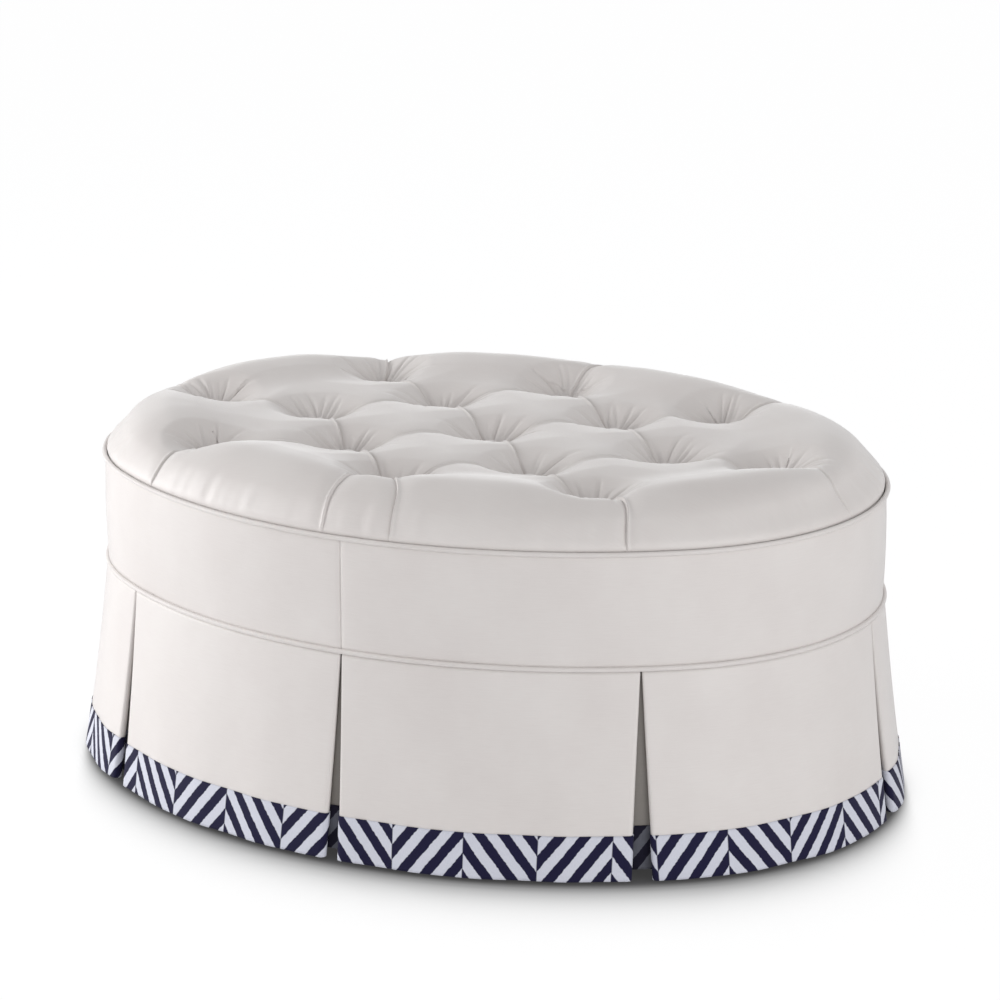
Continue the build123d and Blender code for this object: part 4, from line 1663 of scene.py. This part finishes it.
@dataclass
class Trim:
    """Piping above and below the band, and the stitches beside it."""

    oval: Oval
    radius: float = 0.0029
    middle: float = 0.0013
    seed: int = 31

    def ring(self, grow: float, height: float, count: int = 1400) -> np.ndarray:
        """Points round the oval at one height."""
        flat = self.oval.points(self.oval.angle(np.arange(count) / count), grow)
        return np.column_stack([flat, np.full(count, height)])

    def build(self, room: Workroom) -> list[bpy.types.Object]:
        """Build both welts and the rows of stitches beside them.

        Args:
            room: the finishes.

        Returns:
            The finished pieces.
        """
        made = []
        tube = tube_tree()
        stitches = stitch_tree()
        for name in ("upper_welt", "lower_welt"):
            low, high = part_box(name)
            height = (low.z + high.z) / 2
            piece = tube.grow(
                name.replace("welt", "piping"), self.ring(self.middle, height), True,
                radius=self.radius, wrinkle_scale=300.0, wrinkle_height=0.0003, material=room.piping,
            )
            self.wrap(piece, height)
            made.append(sew_on(piece, room.piping, "welt_cloth", name))
            for side in (-1, 1):
                row = self.ring(-0.0002, height + side * (self.radius + 0.0005))
                sewn = stitches.grow(
                    f"{name.split('_')[0]}_stitches_{'low' if side < 0 else 'high'}", row, True,
                    pitch=0.0036, thread=0.00022, stretch=6.0, material=room.piping,
                )
                made.append(sew_on(sewn, room.piping, "welt_cloth"))
        return made

    def wrap(self, piece: bpy.types.Object, height: float) -> None:
        """Give the piping its cloth's plane, along and round the cord.

        Args:
            piece: the piping.
            height: height of its middle.
        """
        mesh = piece.data
        points = np.empty(len(mesh.vertices) * 3, np.float32)
        mesh.vertices.foreach_get("co", points)
        points = points.reshape(-1, 3)
        angle, grow = self.oval.locate(points[:, :2].astype(float))
        along = angle * self.oval.arcs(angle)[2]
        around = np.arctan2(points[:, 2] - height, grow - self.middle) * self.radius
        loops = np.empty(len(mesh.loops), np.int32)
        mesh.loops.foreach_get("vertex_index", loops)
        layer = mesh.uv_layers.get("cloth") or mesh.uv_layers.new(name="cloth")
        plane = np.stack([along + around, around - along * 0.2], 1)[loops]
        layer.data.foreach_set("uv", plane.astype(np.float32).ravel())


@dataclass
class Seat:
    """What lies under the cover: the slab, the covered buttons and their twines."""

    oval: Oval
    top: TuftedTop
    button_height: float = 0.0070
    columns: int = 360
    facets: int = 40

    def slab(self, room: Workroom) -> bpy.types.Object:
        """Build the foam slab with its rounded upper edge.

        Args:
            room: the finishes.

        Returns:
            The finished piece.
        """
        low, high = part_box("seat_foam")
        face = high.x - self.oval.half_length
        outline = smooth_line(np.array([
            (face, low.z), (face, low.z + 0.01), (face, high.z - 0.012), (face - 0.0015, high.z - 0.005),
            (face - 0.005, high.z - 0.0012), (face - 0.012, high.z),
        ]), 4)
        outline = np.vstack([outline, [[-0.15, high.z], [-0.28, high.z]]])
        outline = np.vstack([[[-0.28, low.z], [-0.15, low.z]], outline])
        angle = self.oval.angle(np.arange(self.columns) / self.columns)
        rings = []
        for grow, height in outline:
            flat = self.oval.points(angle, max(grow, -0.15))
            if grow < -0.2:
                flat = flat * 0.5
            rings.append(np.column_stack([flat, np.full(self.columns, height)]))
        points = np.vstack([*rings, [[0, 0, high.z]], [[0, 0, low.z]]])
        index = np.arange(self.columns)
        faces = np.vstack([
            halved(grid_faces(len(rings), self.columns, wrap=True)),
            fan((len(rings) - 1) * self.columns + index, len(points) - 2),
            fan(index, len(points) - 1, flip=True),
        ])
        piece = mesh_object("seat_slab", points, faces)
        sew_on(piece, room.foam, "foam", "seat_foam")
        return piece

    def buttons(self, room: Workroom) -> bpy.types.Object:
        """Build the domed buttons, covered in the same cloth.

        Args:
            room: the finishes.

        Returns:
            The finished piece.
        """
        low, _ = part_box("tuft_buttons")
        turn = np.linspace(0, 2 * math.pi, self.facets, endpoint=False)
        profile = smooth_line(np.array([
            (0.0088, 0.0002), (0.0103, 0.0012), (0.0104, 0.0026), (0.0094, 0.0045), (0.0068, 0.0061),
            (0.0034, 0.0068),
        ]), 3)
        rng = np.random.default_rng(5)
        points, faces = [], []
        index = np.arange(self.facets)
        for place in self.top.tufts:
            base = sum(len(part) for part in points)
            pucker = waves(turn * 0.01, rng, (0.0063, 0.0041))
            for radius, height in profile:
                ring = radius + 0.0002 * pucker * (height < 0.003)
                flat = place + np.stack([ring * np.cos(turn), ring * np.sin(turn)], 1)
                points.append(np.column_stack([flat, np.full(self.facets, low.z + height)]))
            points.append(np.array([[*place, low.z + self.button_height]]))
            points.append(np.array([[*place, low.z]]))
            middle = base + len(profile) * self.facets
            faces += [
                halved(grid_faces(len(profile), self.facets, wrap=True) + base),
                fan(middle - self.facets + index, middle),
                fan(base + index, middle + 1, flip=True),
            ]
        merged = np.vstack(points)
        piece = mesh_object("covered_buttons", merged, np.vstack(faces), merged[:, :2])
        return sew_on(piece, room.ivory, "cover_cloth", "tuft_buttons")

    def twines(self, room: Workroom) -> bpy.types.Object:
        """Build the twines from the buttons to the toggles, each of three laid strands.

        Args:
            room: the finishes.

        Returns:
            The finished piece.
        """
        low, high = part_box("tuft_twines")
        heights = np.linspace(low.z, high.z, 30)
        lines = []
        for place in self.top.tufts:
            for strand in range(3):
                turn = heights / 0.009 * 2 * math.pi + strand * 2 * math.pi / 3
                lines.append(np.column_stack([
                    place[0] + 0.0006 * np.cos(turn), place[1] + 0.0006 * np.sin(turn), heights,
                ]))
        piece = tube_tree().grow(
            "button_twines", np.array(lines), False,
            radius=0.0007, wrinkle_scale=900.0, wrinkle_height=0.0002, material=room.twine,
        )
        return sew_on(piece, room.twine, "twine", "tuft_twines")

    def build(self, room: Workroom) -> list[bpy.types.Object]:
        """Build the slab, the buttons and the twines."""
        return [self.slab(room), self.buttons(room), self.twines(room)]


@dataclass
class Underside:
    """The dust cover under the frame and its staples."""

    oval: Oval
    sag: float = 0.004
    inset: float = 0.001
    drawn_in: float = 0.30
    columns: int = 360
    seed: int = 41

    def build(self, room: Workroom) -> list[bpy.types.Object]:
        """Build the cover, stretched under the ring and a little slack in the middle.

        Args:
            room: the finishes.

        Returns:
            The finished pieces.
        """
        _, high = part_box("dust_cover")
        face = high.x - self.oval.half_length
        rng = np.random.default_rng(self.seed)
        angle = self.oval.angle(np.arange(self.columns) / self.columns)
        rings = []
        for share in np.concatenate([np.linspace(0, 0.9, 46), [0.95]]):
            edge = self.oval.points(angle, face - self.inset - self.drawn_in * min(share, 0.45) / 0.95)
            inner = 1.0 if share < 0.5 else 1 - (share - 0.45) / 0.55
            flat = edge * inner
            slack = self.sag * ramp(np.full(self.columns, share), 0.3, 0.95)
            ripple = waves(np.arange(self.columns) * 0.0078, rng, (0.06, 0.035))
            pucker = 0.0006 * ripple * math.exp(-share / 0.08)
            rings.append(np.column_stack([flat, high.z - 0.0005 - slack - np.abs(pucker)]))
        points = np.vstack([*rings, [[0, 0, high.z - 0.0005 - self.sag]]])
        last = (len(rings) - 1) * self.columns + np.arange(self.columns)
        faces = halved(grid_faces(len(rings), self.columns, wrap=True))
        triangles = np.vstack([faces, fan(last, len(points) - 1)])
        piece = mesh_object("dust_sheet", points, triangles[:, ::-1], points[:, :2])
        thicken(piece, 0.0006)
        sew_on(piece, room.lining, "lining_cloth", "dust_cover")
        flat = (2 * (self.oval.half_length + face), 2 * (self.oval.half_width + face))
        row = self.oval.points(self.oval.angle(np.arange(1000) / 1000), face - 0.010)
        line = np.column_stack([row, np.full(1000, high.z - 0.0011)])
        staples = stitch_tree().grow(
            "dust_staples", line, True, pitch=0.032, thread=0.0006, stretch=8.0, material=room.steel
        )
        return [piece, sew_on(staples, room.steel, "steel")]


def dress_frame(room: Workroom) -> int:
    """Give every solid that stays showing its finish.

    Args:
        room: the finishes.

    Returns:
        How many solids were dressed.
    """
    finishes = {
        "frame_wood": room.birch, "fibreboard": room.board, "foot_wood": room.beech,
        "glide_plastic": room.nylon, "steel": room.steel,
    }
    slots = {part["node"]: part["material_slot"] for part in frame["record"]["subparts"]}
    dressed = 0
    for name, node in frame["nodes"].items():
        if node.hide_render:
            continue
        finish = finishes.get(slots[name], room.twine)
        node.data.materials.clear()
        node.data.materials.append(finish)
        dressed += 1
    return dressed


# Studio


@dataclass
class Studio:
    """White floor and surround, soft light from the upper left, and the camera."""

    oval: Oval
    flare: float = Skirt.flare
    azimuth: float = 27.0
    elevation: float = 17.2
    distance: float = 4.402
    aim: tuple[float, float, float] = (0.0, 0.0, 0.220)
    lens: float = 129.2
    shift: tuple[float, float] = (0.0108, 0.0877)
    horizon: float = 0.92
    zenith: float = 0.42
    key_place: tuple[float, float, float] = (-3.1, -0.83, 1.0)
    key_size: tuple[float, float] = (1.8, 1.8)
    key_power: float = 64.0
    fill_place: tuple[float, float, float] = (3.6, -1.7, 1.0)
    fill_size: tuple[float, float] = (2.0, 1.6)
    fill_power: float = 32.0
    floor_lift: float = 0.94
    # Sizes of the painted soft shadow and the painted contact shadow on the floor.
    shadow_turn: float = 27.0
    shadow_depth: float = 0.94
    shadow_reach: float = 0.050
    shadow_fall: float = 1.2
    shadow_length: float = 0.20
    shadow_edge: float = 0.005
    shadow_steps: int = 60
    contact_shadow: float = 0.30
    contact_shadow_reach: float = 0.007
    rings: tuple[float, ...] = (
        -0.2, -0.1, -0.05, -0.02, -0.01, -0.004, 0.0, 0.003, 0.006, 0.01, 0.015, 0.02, 0.027, 0.035, 0.045,
        0.055, 0.065, 0.075, 0.085, 0.1, 0.115, 0.13, 0.15, 0.17, 0.25, 0.6, 2.0, 6.0, 14.0,
    )
    columns: int = 720

    def camera(self) -> bpy.types.Object:
        """Place the camera at the photograph's viewing angle.

        Returns:
            The camera.
        """
        turn, tilt = math.radians(self.azimuth), math.radians(self.elevation)
        back = Vector((math.sin(turn) * math.cos(tilt), -math.cos(turn) * math.cos(tilt), math.sin(tilt)))
        lens = bpy.data.cameras.new("camera")
        lens.sensor_width = 36
        lens.lens = self.lens
        lens.shift_x, lens.shift_y = self.shift
        lens.clip_end = 60
        camera = bpy.data.objects.new("camera", lens)
        camera.location = Vector(self.aim) + back * self.distance
        camera.rotation_euler = (-back).to_track_quat("-Z", "Y").to_euler()
        bpy.context.scene.collection.objects.link(camera)
        bpy.context.scene.camera = camera
        return camera

    def lamp(self, name: str, place: Sequence[float], size: Sequence[float], power: float) -> None:
        """Add a soft upright lamp that faces the seat.

        Args:
            name: the lamp's name.
            place: where it stands.
            size: its width and height.
            power: its power in watts.
        """
        light = bpy.data.lights.new(name, "AREA")
        light.shape = "RECTANGLE"
        light.size, light.size_y = size
        light.energy = power
        lamp = bpy.data.objects.new(name, light)
        lamp.location = place
        aim = Vector((0, 0, 0.25)) - Vector(place)
        lamp.rotation_euler = aim.to_track_quat("-Z", "Y").to_euler()
        bpy.context.scene.collection.objects.link(lamp)

    def surround(self) -> None:
        """Light everything softly, less from overhead, and show pure white behind it."""
        world = bpy.data.worlds.new("surround")
        world.use_nodes = True
        tree = world.node_tree
        tree.nodes.clear()
        output = tree.nodes.new("ShaderNodeOutputWorld")
        seen = tree.nodes.new("ShaderNodeBackground")
        seen.inputs["Color"].default_value = (1, 1, 1, 1)
        paler = tree.nodes.new("ShaderNodeMapRange")
        paler.inputs["From Min"].default_value = 0.35
        paler.inputs["To Min"].default_value = 1.0
        paler.inputs["To Max"].default_value = self.zenith
        light = tree.nodes.new("ShaderNodeBackground")
        light.inputs["Color"].default_value = (0.99, 0.992, 1.0, 1)
        way = tree.nodes.new("ShaderNodeTexCoord")
        split = tree.nodes.new("ShaderNodeSeparateXYZ")
        fade = tree.nodes.new("ShaderNodeMapRange")
        fade.inputs["To Min"].default_value = self.horizon
        fade.inputs["To Max"].default_value = self.zenith
        tree.links.new(way.outputs["Generated"], split.inputs[0])
        tree.links.new(split.outputs["Z"], fade.inputs[0])
        tree.links.new(fade.outputs[0], light.inputs["Strength"])
        tree.links.new(split.outputs["Z"], paler.inputs[0])
        tree.links.new(paler.outputs[0], seen.inputs["Strength"])
        mix = tree.nodes.new("ShaderNodeMixShader")
        path = tree.nodes.new("ShaderNodeLightPath")
        either = tree.nodes.new("ShaderNodeMath")
        either.operation = "MAXIMUM"
        tree.links.new(path.outputs["Is Camera Ray"], either.inputs[0])
        tree.links.new(path.outputs["Is Glossy Ray"], either.inputs[1])
        tree.links.new(either.outputs[0], mix.inputs[0])
        tree.links.new(light.outputs[0], mix.inputs[1])
        tree.links.new(seen.outputs[0], mix.inputs[2])
        tree.links.new(mix.outputs[0], output.inputs[0])
        bpy.context.scene.world = world

    def painted_shadow_shares(self, places: np.ndarray) -> np.ndarray:
        """Painted shade of the floor: a painted soft shadow on one side of the hem and a painted contact
        shadow round it.

        The shadow falls along a fixed direction in the plan, shadow_turn degrees right of the front.

        Args:
            places: places on the floor.

        Returns:
            Shares from near 0 in the deepest shadow to 1 in the open.
        """
        turn = math.radians(self.shadow_turn)
        fall = np.array([math.sin(turn), -math.cos(turn)])
        shares = np.ones(len(places))
        for way in np.linspace(0, self.shadow_length, self.shadow_steps):
            grow = self.oval.locate(places - way * fall)[1] - self.flare
            covered = ramp(-grow, -self.shadow_edge, self.shadow_edge)
            dark = self.shadow_depth * math.exp(-((way / self.shadow_reach) ** self.shadow_fall))
            shares = np.minimum(shares, 1 - covered * dark)
        # Painted contact shadow: darker the nearer a place lies to the hem.
        near = np.maximum(self.oval.locate(places)[1] - self.flare, 0)
        return shares * (1 - self.contact_shadow * np.exp(-near / self.contact_shadow_reach))

    def floor(self) -> None:
        """Lay a wide white floor in rings round the hem, with the painted soft and contact shadows in its
        glow.
        """
        grows = [self.flare + grow for grow in self.rings]
        angles = self.oval.angle(np.arange(self.columns) / self.columns)
        rings = np.vstack([self.oval.points(angles, grow) for grow in grows] + [np.zeros((1, 2))])
        cap = fan(np.arange(self.columns), len(rings) - 1)
        faces = np.vstack([halved(grid_faces(len(grows), self.columns, wrap=True)[:, ::-1]), cap])
        shares = self.painted_shadow_shares(rings)
        points = np.column_stack([rings, np.zeros(len(rings))])
        plane = np.column_stack([shares, np.zeros(len(rings))])
        floor = mesh_object("floor", points, faces, plane)
        nodes = Nodes("white_floor")
        share, _, _ = nodes.split(nodes.place(uv=True))
        path = nodes.tree.nodes.new("ShaderNodeLightPath")
        seen = nodes.math("MAXIMUM", path.outputs["Is Camera Ray"], path.outputs["Is Glossy Ray"])
        nodes.surface(
            Base_Color=nodes.blend(seen, paint(246, 246, 247), paint(84, 84, 85)),
            Roughness=0.9,
            Specular_IOR_Level=0.0,
            Emission_Color=(1, 1, 1, 1),
            # The painted shadow shares dim the floor's white glow for camera and glossy rays.
            Emission_Strength=nodes.times(seen, nodes.times(share, self.floor_lift)),
        )
        floor.data.materials.append(nodes.material)

    def build(self) -> None:
        """Build the studio."""
        self.camera()
        self.surround()
        self.floor()
        self.lamp("left_panel", self.key_place, self.key_size, self.key_power)
        self.lamp("right_panel", self.fill_place, self.fill_size, self.fill_power)
        view = bpy.context.scene.view_settings
        view.view_transform = "Standard"


def main() -> None:
    """Build every sub-assembly in order and report each piece."""
    logging.basicConfig(level=logging.INFO, format="%(name)s %(message)s")
    room = Workroom()
    _, band_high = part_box("band_right")
    band_low, band_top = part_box("band_left")
    oval = Oval(band_high.x, band_top.y)
    Studio(oval).build()
    top_low, top_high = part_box("tufted_top")
    hem_low, hem_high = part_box("skirt_panel_1")
    top = TuftedTop(oval, top_low.z, top_high.z)
    cover = top.build(room)
    log.info("%s: %d faces", cover.name, len(cover.data.polygons))
    for assembly in (
        Seat(oval, top), Band(oval, band_low.z, band_top.z), Trim(oval),
        Skirt(oval, hem_low.z, hem_high.z), Underside(oval),
    ):
        for piece in assembly.build(room):
            log.info("%s: %d faces", piece.name, len(piece.data.polygons))
    log.info("%d solids dressed", dress_frame(room))


if __name__ == "__main__":
    main()
